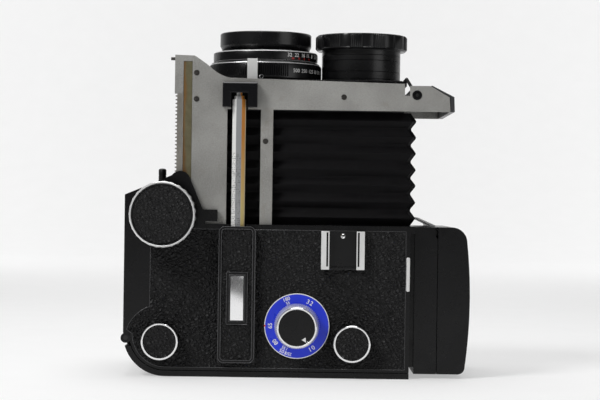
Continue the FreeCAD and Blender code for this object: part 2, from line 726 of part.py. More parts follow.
def plate_outline():
    """Side plate: two rails going down into the body, and the nose at the top end."""
    low = STANDARD_LOW_Z
    return [(RACK_BACK_X, RAIL_BOTTOM), (RACK_BACK_X, RACK_TOP_Z), (-63.6, RACK_TOP_Z),
            (-63.6, 161.1), (-53.7, 160.8), (-50.4, 158.6, -46.1, 155.5),
            (-41.2, 151.8, -36.0, 149.9), (51.9, 148.0), (52.0, 142.0), (54.6, 142.0),
            (54.6, 147.1), (64.9, 147.1), (74.5, 141.5), (74.9, low), (-14.0, low),
            (-14.0, RAIL_BOTTOM), (-20.2, RAIL_BOTTOM), (-20.2, low), (-37.0, low),
            (-37.0, RAIL_BOTTOM)]


def make_side_plate():
    """Left side plate of the front standard."""
    plate = slab_y(plate_outline(), -RAIL_OUT, -RAIL_IN)
    plate = plate.cut(box(-59.3, -54.8, -RAIL_OUT - 1, -RAIL_OUT + 0.5, RAIL_BOTTOM - 1, 158.0))
    return plate.cut(rod_y(BAIL_X, BAIL_Z, BAIL_R + FIT, -RAIL_OUT - 1, -RAIL_IN + 1))


def make_left_plate():
    notch = box(ROD_X - ROD_SPACE, ROD_X + ROD_SPACE, -RAIL_OUT - 1, -RAIL_IN + 1, STANDARD_LOW_Z - 1, 142.3)
    return make_side_plate().cut(notch)


def make_racks():
    """Toothed edge of each rail."""
    points = [(RACK_BACK_X, RACK_TOP_Z), (RACK_BACK_X, RAIL_BOTTOM), (RACK_ROOT_X, RAIL_BOTTOM)]
    # the pinion's first tooth points at the middle of a gap
    first = PINION_Z + TOOTH_PITCH / 2
    start = first - TOOTH_PITCH * math.floor((first - RAIL_BOTTOM - 0.6) / TOOTH_PITCH)
    count = int((RACK_TOP_Z - 0.6 - start) / TOOTH_PITCH) + 1
    for index in range(count):
        z = start + index * TOOTH_PITCH
        points += [(RACK_ROOT_X, z - 0.5), (RACK_TIP_X, z - 0.17),
                   (RACK_TIP_X, z + 0.17), (RACK_ROOT_X, z + 0.5)]
    points.append((RACK_ROOT_X, RACK_TOP_Z))
    return both_sides(slab_y(points, -RAIL_OUT, -RAIL_IN))


def make_front_plate():
    """Flat plate between the side plates that carries the lens board."""
    plate = box(*PLATE_X, -RAIL_IN, RAIL_IN, BOARD_BACK_Z - PLATE_THICK, BOARD_BACK_Z)
    plate = plate.cut(rod_z(TAKING_X, 0, 19.5, 130, 160))
    return plate.cut(rod_z(VIEWING_X, 0, 18.0, 130, 160))


def make_bellows_frame():
    """Deep rim behind the front plate, to which the bellows is fastened."""
    low_x, high_x = PLATE_X
    high_z = BOARD_BACK_Z - PLATE_THICK
    rim = box(low_x, high_x, -RAIL_IN, RAIL_IN, STANDARD_LOW_Z - 0.4, high_z)
    rim = rim.cut(box(low_x + 2, high_x - 2, -RAIL_IN + 2.5, RAIL_IN - 2.5,
                      STANDARD_LOW_Z - 1, high_z + 1))
    # space for the scale rod
    return rim.cut(box(ROD_X - ROD_SPACE, ROD_X + ROD_SPACE, -RAIL_IN - 1, -RAIL_IN + 0.8,
                       STANDARD_LOW_Z - 1, 142.3))


def make_top_cover():
    """Bent cover over the nose of the standard."""
    end = slab_y([(65.7, 147.3), (76.8, 141.7), (77.1, STANDARD_LOW_Z),
                  (75.1, STANDARD_LOW_Z), (74.9, 141.6), (65.0, 147.1)], -RAIL_OUT, RAIL_OUT)
    strip = box(56.5, 66.4, -34.5, 34.5, 145.7, 146.9)
    inner = slab_y([(64.5, 146.9), (74.3, 141.2), (74.7, STANDARD_LOW_Z),
                    (75.1, STANDARD_LOW_Z), (74.9, 141.6), (65.0, 147.1)], -RAIL_IN, RAIL_IN)
    return end.fuse(inner).fuse(strip).removeSplitter()


def make_rod_holder():
    """Block on the left plate with an open window round the head of the scale rod."""
    holder = slab_x([(-RAIL_OUT, 134.9), (-RAIL_OUT, 147.5), (-45.4, 147.5), (-46.2, 146.7),
                     (-46.2, 134.9)], -39.3, -21.9)
    holder = holder.cut(box(ROD_X - ROD_SPACE, ROD_X + ROD_SPACE, -47, -39, 134, 142.2))
    return holder.cut(rod_z(ROD_X, ROD_Y, 1.5 + FIT, 142, 145.6))


def make_scale_rod():
    """Eight-sided scale rod with a pivot pin on top."""
    corners = []
    for index in range(8):
        angle = math.pi * (index + 0.5) / 4
        corners.append((ROD_X + ROD_R * math.cos(angle), ROD_Y + ROD_R * math.sin(angle)))
    rod = slab_z(corners, ROD_BOTTOM, ROD_TOP)
    rod = rod.fuse(rod_z(ROD_X, ROD_Y, 2.6, ROD_TOP, ROD_TOP + 1.6))
    return rod.fuse(rod_z(ROD_X, ROD_Y, 1.5, ROD_TOP + 1.6, 145.2)).removeSplitter()


def make_standard_screws():
    """Screw heads on both side plates, and the black stop pins at the rack's top end."""
    pieces = []
    for x, z in SCREW_PLACES:
        pieces.append(cheese_head_y(x, z, -RAIL_OUT, -1, 1.4, 0.25))
    pieces.append(rod_x(-38.6, 159.1, 0.8, -65.7, -63.6))
    return group(pieces + [mirrored(piece) for piece in pieces])


def make_lens_board():
    """Removable board that carries both lenses."""
    board = box(-46.0, 50.8, -37.2, 37.2, BOARD_BACK_Z, BOARD_FRONT_Z)
    board = board.fuse(box(50.8, 53.2, -33.8, 33.8, BOARD_BACK_Z, BOARD_FRONT_Z))
    board = board.cut(rod_z(TAKING_X, 0, 18.0, 140, 160))
    return board.cut(rod_z(VIEWING_X, 0, 16.9, 140, 160))


def make_lens_bail():
    """Spring wire that swings over the end of the lens board."""
    path = [vec(BAIL_X, -RAIL_OUT - 0.8, BAIL_Z), vec(BAIL_X, -36.0, BAIL_Z),
            vec(52.9, -36.0, 150.6), vec(52.9, 36.0, 150.6), vec(BAIL_X, 36.0, BAIL_Z),
            vec(BAIL_X, RAIL_OUT + 0.8, BAIL_Z)]
    wire = None
    for start, end in zip(path, path[1:]):
        run = end - start
        piece = Part.makeCylinder(BAIL_R, run.Length, start, run)
        wire = piece if wire is None else wire.fuse(piece)
    for corner in path[1:-1]:
        wire = wire.fuse(Part.makeSphere(BAIL_R, corner))
    return wire.removeSplitter()


# ---------------------------------------------------------------- lenses

def make_taking_barrel():
    top = LENS_TOP_Z
    return turned_z(TAKING_X, 0, [(14.0, 140.0), (18.0, 140.0), (18.0, BOARD_FRONT_Z),
                                  (BARREL_R, BOARD_FRONT_Z), (BARREL_R, 166.2), (22.8, 166.2),
                                  (23.8, 168.4), (23.8, top), (22.6, top), (22.6, 172.6), (21.2, 172.3),
                                  (16.2, 170.8), (16.2, 168.0), (14.0, 168.0)])


def lens_glass(x, radius, low, rim, crown):
    """Glass element, flat at its back and domed at its front."""
    return turned_z(x, 0, [(0, low), (radius, low), (radius, rim), dome(radius, rim, crown)])


def make_taking_elements():
    return group([lens_glass(TAKING_X, 16.1, 168.0, 168.8, 171.4),
                  lens_glass(TAKING_X, 13.9, 142.0, 143.2, 145.0)])


def make_viewing_barrel():
    return turned_z(VIEWING_X, 0, [(14.0, 140.0), (16.9, 140.0), (16.9, BOARD_FRONT_Z),
                                   (20.5, BOARD_FRONT_Z), (20.5, 173.4), (19.2, 173.4),
                                   (18.2, 170.0), (15.6, 169.4), (15.6, 167.4), (14.0, 167.4)])


def make_viewing_hood_ring():
    """Ring with alternating raised and plain segments round its edge."""
    ring = turned_z(VIEWING_X, 0, ring_profile(20.5, 23.9, 166.9, 174.9, 0.5))
    for index in range(12):
        angle = 2 * math.pi * index / 12
        notch = box(23.3, 25.0, -1.6, 1.6, 168.0, 173.8)
        notch.rotate(vec(0, 0, 0), vec(0, 0, 1), math.degrees(angle))
        notch.translate(vec(VIEWING_X, 0, 0))
        ring = ring.cut(notch)
    return ring


def make_viewing_elements():
    return group([lens_glass(VIEWING_X, 15.5, 167.4, 168.0, 170.4),
                  lens_glass(VIEWING_X, 13.9, 142.0, 143.0, 144.6)])


def make_speed_ring():
    return turned_z(TAKING_X, 0, ring_profile(BARREL_R + FIT, 29.2, 150.8, 159.9, 0.4))


def make_aperture_ring():
    return turned_z(TAKING_X, 0, ring_profile(BARREL_R + FIT, 27.2, 160.2, 165.3, 0.4))


def make_cocking_lever():
    """Thin ring under the speed ring with one arm turned up beside it."""
    lever = turned_z(TAKING_X, 0, ring_profile(BARREL_R + FIT, 27.0, 149.9, 150.5))
    arm = box(-27.6, -22.4, -31.6, -24.0, 149.9, 150.5)
    tab = box(-27.6, -22.4, -31.6, -30.2, 149.9, 160.4)
    return lever.fuse(arm).fuse(tab).removeSplitter()


# ---------------------------------------------------------------- bellows

def make_bellows():
    """Square sleeve between the body flange and the front standard."""
    sleeve = box(-47.5, 57.0, -35.8, 35.8, FRONT_Z, STANDARD_LOW_Z - 0.6)
    return sleeve.cut(box(-42.5, 50.0, -31.0, 31.0, FRONT_Z - 1, STANDARD_LOW_Z + 1))


# ---------------------------------------------------------------- hood

def hood_ears():
    """Ears on the hood base for the lid, the two side leaves and the rear leaf."""
    split = HOOD_SPLIT_X
    ears = []
    for low, high in ((-32.0, -30.0), (30.0, 32.0)):
        ears.append(box(split - 1, LID_HINGE_X + 1.4, low, high, 71.9, 74.8))
    for side in (-1, 1):
        y = side * LEAF_HINGE_Y
        for z in (6.0, 66.8):
            ears.append(box(split - 1, LEAF_X + 0.9, y - 0.9, y + 0.9, z, z + 1.4))
    for low, high in ((-32.4, -31.2), (31.2, 32.4)):
        ears.append(box(split - 1, REAR_LEAF_X + 0.9, low, high, REAR_LEAF_Z - 0.9, REAR_LEAF_Z + 0.9))
    return ears


def make_hood_base():
    """Frame round the focusing screen, with hinge ears on its open face."""
    low_z, high_z = HOOD_BACK_Z, HOOD_FRONT_Z
    frame = box(HOOD_BASE_X, HOOD_SPLIT_X, -HOOD_HALF, HOOD_HALF, low_z, high_z)
    frame = frame.cut(box(HOOD_BASE_X - 1, HOOD_SPLIT_X + 1, -32.2, 32.2, low_z + 4.4, high_z - 4.4))
    neck = box(TOP_X, HOOD_BASE_X, -34.0, 34.0, 5.4, 73.0)
    neck = neck.cut(box(TOP_X - 1, HOOD_BASE_X + 1, -28.5, 28.5, 11.0, 69.0))
    frame = frame.fuse(neck)
    frame = frame.cut(rod_y(LID_HINGE_X, LID_HINGE_Z, LID_SWING_R, -HOOD_HALF, HOOD_HALF))
    for ear in hood_ears():
        frame = frame.fuse(ear)
    frame = frame.fuse(rod_y(LID_HINGE_X, LID_HINGE_Z, 1.0, -31.0, 31.0))
    for side in (-1, 1):
        frame = frame.cut(rod_z(LEAF_X, side * LEAF_HINGE_Y, LEAF_PIN_R + FIT, 5.0, 70.0))
    frame = frame.cut(rod_y(REAR_LEAF_X, REAR_LEAF_Z, LEAF_PIN_R + FIT, -33.0, 33.0))
    return frame.removeSplitter()


def make_focusing_screen():
    """Ground glass, resting on the neck's rim."""
    return box(HOOD_BASE_X, HOOD_BASE_X + 2.0, -31.5, 31.5, 7.4, 71.0)


def lid_outline(inset):
    """Lid seen from the side, made smaller by inset."""
    split = HOOD_SPLIT_X + CLEAR
    low, high = HOOD_BACK_Z + inset, HOOD_FRONT_Z - inset
    top = LID_TOP_X - inset
    return [(split, low), (top - 5.6, low), (top - 3.3, low + 1.0, top - 2.2, low + 3.2),
            (top, 44.0, top - 1.6, high - 7.4), (top - 4.2, high - 1.9, top - 10.0, high),
            (split, high)]


def make_hood_lid():
    """Lid with skirts all round, a hinge barrel at the front and ears for the magnifier."""
    lid = slab_y(lid_outline(0.0), -HOOD_HALF, HOOD_HALF)
    inner = slab_y(lid_outline(1.4), -HOOD_HALF + 1.4, HOOD_HALF - 1.4)
    open_side = box(HOOD_SPLIT_X - 1, HOOD_SPLIT_X + 1, -HOOD_HALF + 1.4, HOOD_HALF - 1.4,
                    HOOD_BACK_Z + 1.4, HOOD_FRONT_Z - 1.4)
    lid = lid.cut(inner).cut(open_side)
    barrel = rod_y(LID_HINGE_X, LID_HINGE_Z, 1.6, -29.4, 29.4)
    barrel = barrel.fuse(box(LID_HINGE_X - 1.0, LID_HINGE_X + 1.0, -29.4, 29.4,
                             LID_HINGE_Z, HOOD_FRONT_Z - 0.6))
    lid = lid.fuse(barrel)
    lid = lid.cut(rod_y(LID_HINGE_X, LID_HINGE_Z, 1.0 + FIT, -30, 30))
    for low, high in ((-32.5, -29.5), (29.5, 32.5)):
        lid = lid.cut(box(HOOD_SPLIT_X, LID_HINGE_X + 3.0, low, high, 71.0, HOOD_FRONT_Z + 1))
    for low, high in ((-17.2, -15.4), (15.4, 17.2)):
        ear = box(MAGNIFIER_X - 1.6, LID_TOP_X - 0.8, low, high, MAGNIFIER_Z - 1.5, MAGNIFIER_Z + 1.5)
        ear = ear.common(slab_y(lid_outline(0.7), -HOOD_HALF, HOOD_HALF))
        lid = lid.fuse(ear.cut(rod_y(MAGNIFIER_X, MAGNIFIER_Z, LEAF_PIN_R + FIT, -18, 18)))
    return lid.cut(rod_x(0, BUTTON_Z, BUTTON_R + FIT, 80, 90)).removeSplitter()


def make_lid_button():
    """Small tapered push button in the lid."""
    return Part.makeCone(1.5, BUTTON_R, 1.6, vec(OUTLINE_X, 0, BUTTON_Z), vec(-1, 0, 0)).fuse(
        rod_x(0, BUTTON_Z, BUTTON_R, 84.0, OUTLINE_X - 1.6)).removeSplitter()


def make_side_leaf():
    """Left leaf of the hood, folded flat, with a pin at each end of its hinge edge."""
    leaf = box(LEAF_X - 0.4, LEAF_X + 0.4, -LEAF_HINGE_Y, -0.4, 7.8, 66.4)
    pin = rod_z(LEAF_X, -LEAF_HINGE_Y, LEAF_PIN_R, 6.1, 68.1)
    return leaf.fuse(pin).removeSplitter()


def make_rear_leaf():
    """Rear leaf with mitred sides, folded under the side leaves."""
    reach = 29.0
    leaf = slab_x([(-30.6, REAR_LEAF_Z), (30.6, REAR_LEAF_Z), (30.6 - reach, REAR_LEAF_Z + reach),
                   (-30.6 + reach, REAR_LEAF_Z + reach)], REAR_LEAF_X - 0.35, REAR_LEAF_X + 0.35)
    return leaf.fuse(rod_y(REAR_LEAF_X, REAR_LEAF_Z, LEAF_PIN_R, -32.3, 32.3)).removeSplitter()


def make_magnifier_frame():
    """Swinging frame of the magnifier, on two pins under the lid."""
    frame = slab_x([(-14.6, MAGNIFIER_Z + 1.0), (-14.6, MAGNIFIER_Z - 18.0),
                    (-10.3, MAGNIFIER_Z - 25.4, 0, MAGNIFIER_Z - 28.4),
                    (10.3, MAGNIFIER_Z - 25.4, 14.6, MAGNIFIER_Z - 18.0),
                    (14.6, MAGNIFIER_Z + 1.0)], MAGNIFIER_X - 1.0, MAGNIFIER_X + 1.0)
    frame = frame.cut(rod_x(0, MAGNIFIER_Z - 15.0, 11.0, 70, 90))
    pins = rod_y(MAGNIFIER_X, MAGNIFIER_Z, LEAF_PIN_R, -17.0, 17.0)
    return frame.fuse(pins).removeSplitter()


def make_magnifier_lens():
    return rod_x(0, MAGNIFIER_Z - 15.0, 11.0, MAGNIFIER_X - 1.0, MAGNIFIER_X + 1.4)


# ---------------------------------------------------------------- the whole camera

def build():
    node("body_shell", make_body_shell())
    node("film_chamber", make_film_chamber())
    node("reflex_mirror", make_mirror())
    node("front_cover", make_front_cover())
    node("left_leatherette", make_skin(-1))
    node("right_leatherette", make_skin(1))
    node("channel_cover", make_channel_cover())
    node("scale_window", make_scale_window())
    node("accessory_shoe", make_accessory_shoe())
    node("strap_lugs", make_strap_lugs())
    node("dial_ring", make_dial_ring())
    node("tripod_socket", make_tripod_socket())
    node("name_plate", make_name_plate())
    node("hinge_pin", make_hinge_pin())
    node("bellows", make_bellows())
    node("hood_base", make_hood_base())
    node("focusing_screen", make_focusing_screen())

    node("back_door", make_back_door())
    node("back_leatherette", make_back_skin())
    node("pressure_plate", make_pressure_plate())
    node("back_latch", make_back_latch())

    node("supply_spool", make_spool(SPOOL_LOW_X))
    node("takeup_spool", make_spool(SPOOL_HIGH_X))
    node("supply_spool_knob", make_spool_knob(SPOOL_LOW_X))
    node("takeup_spool_knob", make_spool_knob(SPOOL_HIGH_X))
    node("advance_knob", make_advance_knob())
    node("advance_crank", make_advance_crank())
    node("lock_dial", make_lock_dial())
    node("light_baffle", make_light_baffle())
    node("release_plunger", make_release_plunger())

    knob = make_focus_knob()
    node("focus_shaft", make_focus_shaft())
    node("focus_knob_left", knob)
    node("focus_knob_right", mirrored(knob))
    node("focus_grip_discs", make_grip_discs())

    node("standard_left_plate", make_left_plate())
    node("standard_right_plate", mirrored(make_side_plate()))
    node("standard_front_plate", make_front_plate())
    node("bellows_frame", make_bellows_frame())
    node("standard_top_cover", make_top_cover())
    node("standard_screws", make_standard_screws())
    node("focus_racks", make_racks())
    node("rod_holder", make_rod_holder())
    node("scale_rod", make_scale_rod())
    node("lens_board", make_lens_board())
    node("lens_bail", make_lens_bail())

    node("taking_barrel", make_taking_barrel())
    node("taking_elements", make_taking_elements())
    node("speed_ring", make_speed_ring())
    node("aperture_ring", make_aperture_ring())
    node("cocking_lever", make_cocking_lever())
    node("viewing_barrel", make_viewing_barrel())
    node("viewing_hood_ring", make_viewing_hood_ring())
    node("viewing_elements", make_viewing_elements())

    leaf = make_side_leaf()
    node("hood_lid", make_hood_lid())
    node("lid_button", make_lid_button())
    node("hood_left_leaf", leaf)
    node("hood_right_leaf", mirrored(leaf))
    node("hood_rear_leaf", make_rear_leaf())
    node("magnifier_frame", make_magnifier_frame())
    node("magnifier_lens", make_magnifier_lens())


def save():
    os.makedirs("parts", exist_ok=True)
    for name, shape in PARTS.items():
        if not shape.isValid():
            print("not valid:", name)
        shape.exportStep(f"parts/{name}.step")


build()
save()
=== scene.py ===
"""Looks of a twin lens reflex camera lying on its back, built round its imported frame."""
import json
import math
import random

import bmesh
import bpy
from mathutils import Matrix, Vector


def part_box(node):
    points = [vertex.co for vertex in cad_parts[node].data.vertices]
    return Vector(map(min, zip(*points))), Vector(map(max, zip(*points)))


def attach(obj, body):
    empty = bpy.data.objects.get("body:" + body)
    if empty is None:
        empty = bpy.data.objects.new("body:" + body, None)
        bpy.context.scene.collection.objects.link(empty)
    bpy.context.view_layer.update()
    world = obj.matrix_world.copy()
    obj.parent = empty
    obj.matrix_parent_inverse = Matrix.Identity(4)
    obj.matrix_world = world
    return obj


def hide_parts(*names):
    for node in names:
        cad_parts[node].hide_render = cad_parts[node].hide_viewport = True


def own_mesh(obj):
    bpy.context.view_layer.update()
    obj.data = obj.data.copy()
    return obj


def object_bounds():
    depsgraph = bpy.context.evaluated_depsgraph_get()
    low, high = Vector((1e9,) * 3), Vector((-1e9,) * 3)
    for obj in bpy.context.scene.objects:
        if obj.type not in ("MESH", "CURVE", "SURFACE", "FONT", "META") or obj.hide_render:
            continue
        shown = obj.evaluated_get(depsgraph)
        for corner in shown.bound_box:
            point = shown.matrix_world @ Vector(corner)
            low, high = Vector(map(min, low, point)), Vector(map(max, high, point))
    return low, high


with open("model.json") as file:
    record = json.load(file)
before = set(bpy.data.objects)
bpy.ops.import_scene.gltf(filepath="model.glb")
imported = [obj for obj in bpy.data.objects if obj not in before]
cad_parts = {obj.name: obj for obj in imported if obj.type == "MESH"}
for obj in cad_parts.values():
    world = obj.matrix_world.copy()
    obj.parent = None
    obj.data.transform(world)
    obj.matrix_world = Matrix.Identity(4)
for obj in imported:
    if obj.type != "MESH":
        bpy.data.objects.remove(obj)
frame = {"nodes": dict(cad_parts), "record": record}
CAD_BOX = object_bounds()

MM = 0.001
TAU = 2 * math.pi
NODES = frame["nodes"]
SLOT_OF = {part["node"]: part["material_slot"] for part in frame["record"]["subparts"]}
BODY_OF = {node: body for body, nodes in frame["record"]["behaviour"]["bodies"].items()
           for node in nodes}

# sizes and places in mm
GROOVE_X = (-59.2, -54.9)   # guide groove in the side plates
GROOVE_TOP = 157.9          # where the groove ends
BAIL_PIVOT = (58.1, 142.4)  # where the lens bail turns, X and Z
KNOB_FOOT = 43.4            # underside of the spool and advance knobs, from the middle plane
LENS_THROAT = 14.0          # radius of the clear opening through both barrels
SPRING_X = -20.4            # coil spring of the cocking lever
CLIP_LOW, CLIP_HIGH = (47.6, -17.4), (51.2, -15.0)  # clip at the foot of the viewing lens

# main view, in metres and degrees
VIEW_DISTANCE = 0.885       # from the camera's left side
VIEW_LIFT = 0.0014          # above the middle of the object
VIEW_TILT = -0.8
VIEW_LENS, VIEW_SENSOR = 108, 36  # focal length and sensor width, mm


# ---------------------------------------------------------------- places read from the frame

def span(node):
    """Lowest and highest corners of a CAD node, in mm."""
    low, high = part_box(node)
    return Vector(low) / MM, Vector(high) / MM


def middle(node):
    low, high = span(node)
    return (low + high) / 2


# ---------------------------------------------------------------- materials

class Shader:
    """A Principled material under construction, with positions in millimetres."""

    def __init__(self, name, color, roughness, metallic=0.0, **sockets):
        self.material = bpy.data.materials.new(name + "_look")
        self.material.use_nodes = True
        self.tree = self.material.node_tree
        self.tree.nodes.clear()
        inputs = {key.replace("_", " "): value for key, value in sockets.items()}
        self.surface = self.add("BsdfPrincipled", {"Base Color": (*color, 1), "Roughness": roughness,
                                                   "Metallic": metallic, **inputs})
        self.add("OutputMaterial", {"Surface": self.surface.outputs[0]})
        self.color = color
        coordinate = self.add("TexCoord", {}).outputs["Object"]
        self.place = self.add("VectorMath", {0: coordinate, "Scale": 1 / MM}, operation="SCALE").outputs[0]
        self.last_normal = None

    def add(self, kind, inputs, **settings):
        """New node; each of its inputs is a plain value or a socket to link."""
        node = self.tree.nodes.new("ShaderNode" + kind)
        for name, value in settings.items():
            setattr(node, name, value)
        for key, value in inputs.items():
            if isinstance(value, bpy.types.NodeSocket):
                self.tree.links.new(value, node.inputs[key])
            else:
                node.inputs[key].default_value = value
        return node

    def stretched(self, x, y, z):
        """Position with its axes scaled, for brushed or layered textures."""
        return self.add("VectorMath", {0: self.place, 1: (x, y, z)}, operation="MULTIPLY").outputs[0]

    def axes(self):
        """Position as separate X, Y and Z."""
        return self.add("SeparateXYZ", {0: self.place}).outputs

    def noise(self, size, detail=3.0, place=None):
        """Noise whose blotches are about this many millimetres wide."""
        inputs = {"Scale": 1.0 / size, "Detail": detail, "Vector": place or self.place}
        return self.add("TexNoise", inputs).outputs["Fac"]

    def ramp(self, value, low, high, out_low, out_high):
        """Value taken from one range to another, clamped."""
        inputs = {"Value": value, "From Min": low, "From Max": high, "To Min": out_low, "To Max": out_high}
        return self.add("MapRange", inputs).outputs["Result"]

    def math(self, operation, *values):
        return self.add("Math", dict(enumerate(values)), operation=operation).outputs[0]

    def mix(self, factor, first, second):
        """Colour between two colours; each is a triple or a socket."""
        first, second = ((*item, 1) if isinstance(item, tuple) else item for item in (first, second))
        factor_socket, first_color, second_color, color_out = 0, 6, 7, 2
        inputs = {factor_socket: factor, first_color: first, second_color: second}
        return self.add("Mix", inputs, data_type="RGBA").outputs[color_out]

    def tint(self, factor, dark, light):
        """Base colour that varies between two multiples of the plain colour."""
        low = tuple(min(1, c * dark) for c in self.color)
        high = tuple(min(1, c * light) for c in self.color)
        self.set("Base Color", self.mix(factor, low, high))

    def set(self, socket, value):
        self.tree.links.new(value, self.surface.inputs[socket])

    def bump(self, height, depth):
        """Relief of this depth in millimetres, over any relief made before."""
        inputs = {"Distance": depth * MM, "Height": height}
        if self.last_normal is not None:
            inputs["Normal"] = self.last_normal
        self.last_normal = self.add("Bump", inputs).outputs[0]
        self.set("Normal", self.last_normal)


def enamel(name, color, roughness, grain=0.3, relief=0.01, shine=0.5):
    """Painted metal: fine orange peel, faint cloudiness and small handling marks."""
    shader = Shader(name, color, roughness, Specular_IOR_Level=shine)
    cloud = shader.noise(14.0, 4.0)
    marks = shader.noise(2.2, 6.0)
    shader.tint(cloud, 0.75, 1.35)
    shader.set("Roughness", shader.math("ADD", shader.ramp(cloud, 0.3, 0.7, roughness - 0.05,
                                                             roughness + 0.06),
                                        shader.ramp(marks, 0.62, 0.75, 0.0, 0.12)))
    shader.bump(shader.noise(grain, 2.0), relief)
    return shader.material


def bare_metal(name, color, roughness, scratch=(1, 1, 1), grain=0.25, relief=0.006, metallic=1.0):
    """Metal with a fine texture; scratch squeezes it into brushed lines."""
    shader = Shader(name, color, roughness, metallic)
    fine = shader.noise(grain, 3.0, shader.stretched(*scratch))
    cloud = shader.noise(9.0, 4.0)
    shader.tint(cloud, 0.82, 1.1)
    shader.set("Roughness", shader.math("ADD", shader.ramp(fine, 0.3, 0.7, -0.05, 0.07),
                                        shader.ramp(cloud, 0.3, 0.7, roughness - 0.03,
                                                    roughness + 0.05)))
    shader.bump(fine, relief)
    return shader.material


def paper():
    """Even white paper, faintly fibrous, glowing a little as if lit through."""
    shader = Shader("paper", (0.5, 0.5, 0.5), 0.9, Emission_Strength=0.41)
    fibre = shader.noise(30.0, 5.0)
    shader.tint(fibre, 0.97, 1.03)
    shader.bump(fibre, 0.01)
    return shader.material


def leatherette():
    """Pebbled artificial leather: rounded cells with creases between them, the creases painted dark as shade.
    """
    shader = Shader("leatherette", (0.012, 0.012, 0.013), 0.45, Specular_IOR_Level=0.34)
    wander, cell = 1.6, 1.9
    warp = shader.add("TexNoise", {"Scale": 0.45, "Vector": shader.place}).outputs["Color"]
    place = shader.add("VectorMath", {0: warp, 1: (wander, wander, wander), 2: shader.place},
                       operation="MULTIPLY_ADD").outputs[0]
    crease = shader.add("TexVoronoi", {"Scale": 1.0 / cell, "Vector": place},
                        feature="DISTANCE_TO_EDGE").outputs["Distance"]
    height = shader.ramp(crease, 0.0, 0.42, 0.0, 1.0)
    # base colour ten times darker in the creases than on the cell tops: painted shade in the creases
    shader.set("Base Color", shader.mix(height, (0.0008, 0.0008, 0.001), (0.009, 0.009, 0.010)))
    shader.set("Roughness", shader.ramp(height, 0.0, 1.0, 0.7, 0.3))
    shader.bump(height, 1.0)
    shader.bump(shader.noise(0.25, 2.0), 0.02)
    return shader.material


def bellows_cloth():
    """Coated cloth: tight weave, worn a little greyer in places."""
    shader = Shader("bellows_cloth", (0.0014, 0.0012, 0.0016), 0.5, Specular_IOR_Level=0.12)
    threads = [shader.add("TexWave", {"Scale": 1.1, "Vector": shader.place}, bands_direction=axis)
               .outputs["Fac"] for axis in "XZ"]
    wear = shader.noise(5.0, 5.0)
    shader.tint(wear, 0.4, 2.4)
    shader.set("Roughness", shader.ramp(wear, 0.3, 0.7, 0.42, 0.6))
    shader.bump(shader.math("MULTIPLY", *threads), 0.03)
    return shader.material


def satin_plate():
    """Sprayed satin grey plate with specks, rubbed thin and yellowed in places."""
    shader = Shader("satin_grey", (0.36, 0.355, 0.335), 0.44, 0.35)
    speck = shader.noise(0.35, 3.0)
    cloud = shader.noise(22.0, 5.0)
    stain = shader.noise(7.0, 5.0)
    base = shader.mix(shader.ramp(cloud, 0.35, 0.65, 0.0, 1.0), (0.30, 0.296, 0.28),
                      (0.38, 0.376, 0.358))
    base = shader.mix(shader.ramp(stain, 0.6, 0.78, 0.0, 0.35), base, (0.24, 0.215, 0.16))
    base = shader.mix(shader.ramp(speck, 0.3, 0.5, 0.55, 0.0), base, (0.15, 0.148, 0.14))
    shader.set("Base Color", shader.mix(shader.ramp(speck, 0.55, 0.72, 0.0, 0.6), base,
                                        (0.56, 0.555, 0.54)))
    shader.set("Roughness", shader.ramp(cloud, 0.3, 0.7, 0.38, 0.5))
    shader.bump(speck, 0.03)
    return shader.material


def lens_glass():
    """Lens glass with a violet coating and a trace of dust."""
    shader = Shader("lens_glass", (0.9, 0.93, 0.95), 0.02, Transmission_Weight=0.85, IOR=1.6,
                    Coat_Weight=0.6, Coat_Tint=(0.55, 0.5, 0.9, 1))
    shader.set("Roughness", shader.ramp(shader.noise(0.5, 4.0), 0.6, 0.8, 0.01, 0.12))
    return shader.material


def ground_glass():
    shader = Shader("ground_glass", (0.62, 0.64, 0.63), 0.55, Transmission_Weight=0.35)
    shader.tint(shader.noise(12.0), 0.9, 1.1)
    shader.bump(shader.noise(0.12, 2.0), 0.02)
    return shader.material


def mirror_glass():
    shader = Shader("mirror", (0.86, 0.87, 0.88), 0.03, 1.0)
    shader.set("Roughness", shader.ramp(shader.noise(0.8, 5.0), 0.55, 0.8, 0.02, 0.2))
    return shader.material


def stained_groove():
    """Greased guide groove: a burnt brown band beside olive metal."""
    shader = Shader("stained_brass", (0.2, 0.17, 0.09), 0.42, 0.45)
    wander = shader.noise(9.0, 4.0, shader.stretched(0.3, 1.0, 1.0))
    edge = shader.math("ADD", shader.axes()["X"], shader.ramp(wander, 0.3, 0.7, -0.7, 0.7))
    band = shader.ramp(edge, GROOVE_X[0] + 0.6, GROOVE_X[0] + 1.9, 0.0, 1.0)
    olive = shader.mix(shader.noise(3.0, 4.0), (0.10, 0.088, 0.045), (0.2, 0.18, 0.105))
    brown = shader.mix(shader.noise(5.0, 4.0, shader.stretched(1.0, 1.0, 0.25)), (0.05, 0.028, 0.012),
                       (0.36, 0.19, 0.06))
    shader.set("Base Color", shader.mix(band, brown, olive))
    fine = shader.noise(0.3, 3.0, shader.stretched(1.0, 1.0, 0.12))
    shader.set("Roughness", shader.ramp(fine, 0.3, 0.7, 0.34, 0.52))
    shader.bump(fine, 0.01)
    return shader.material


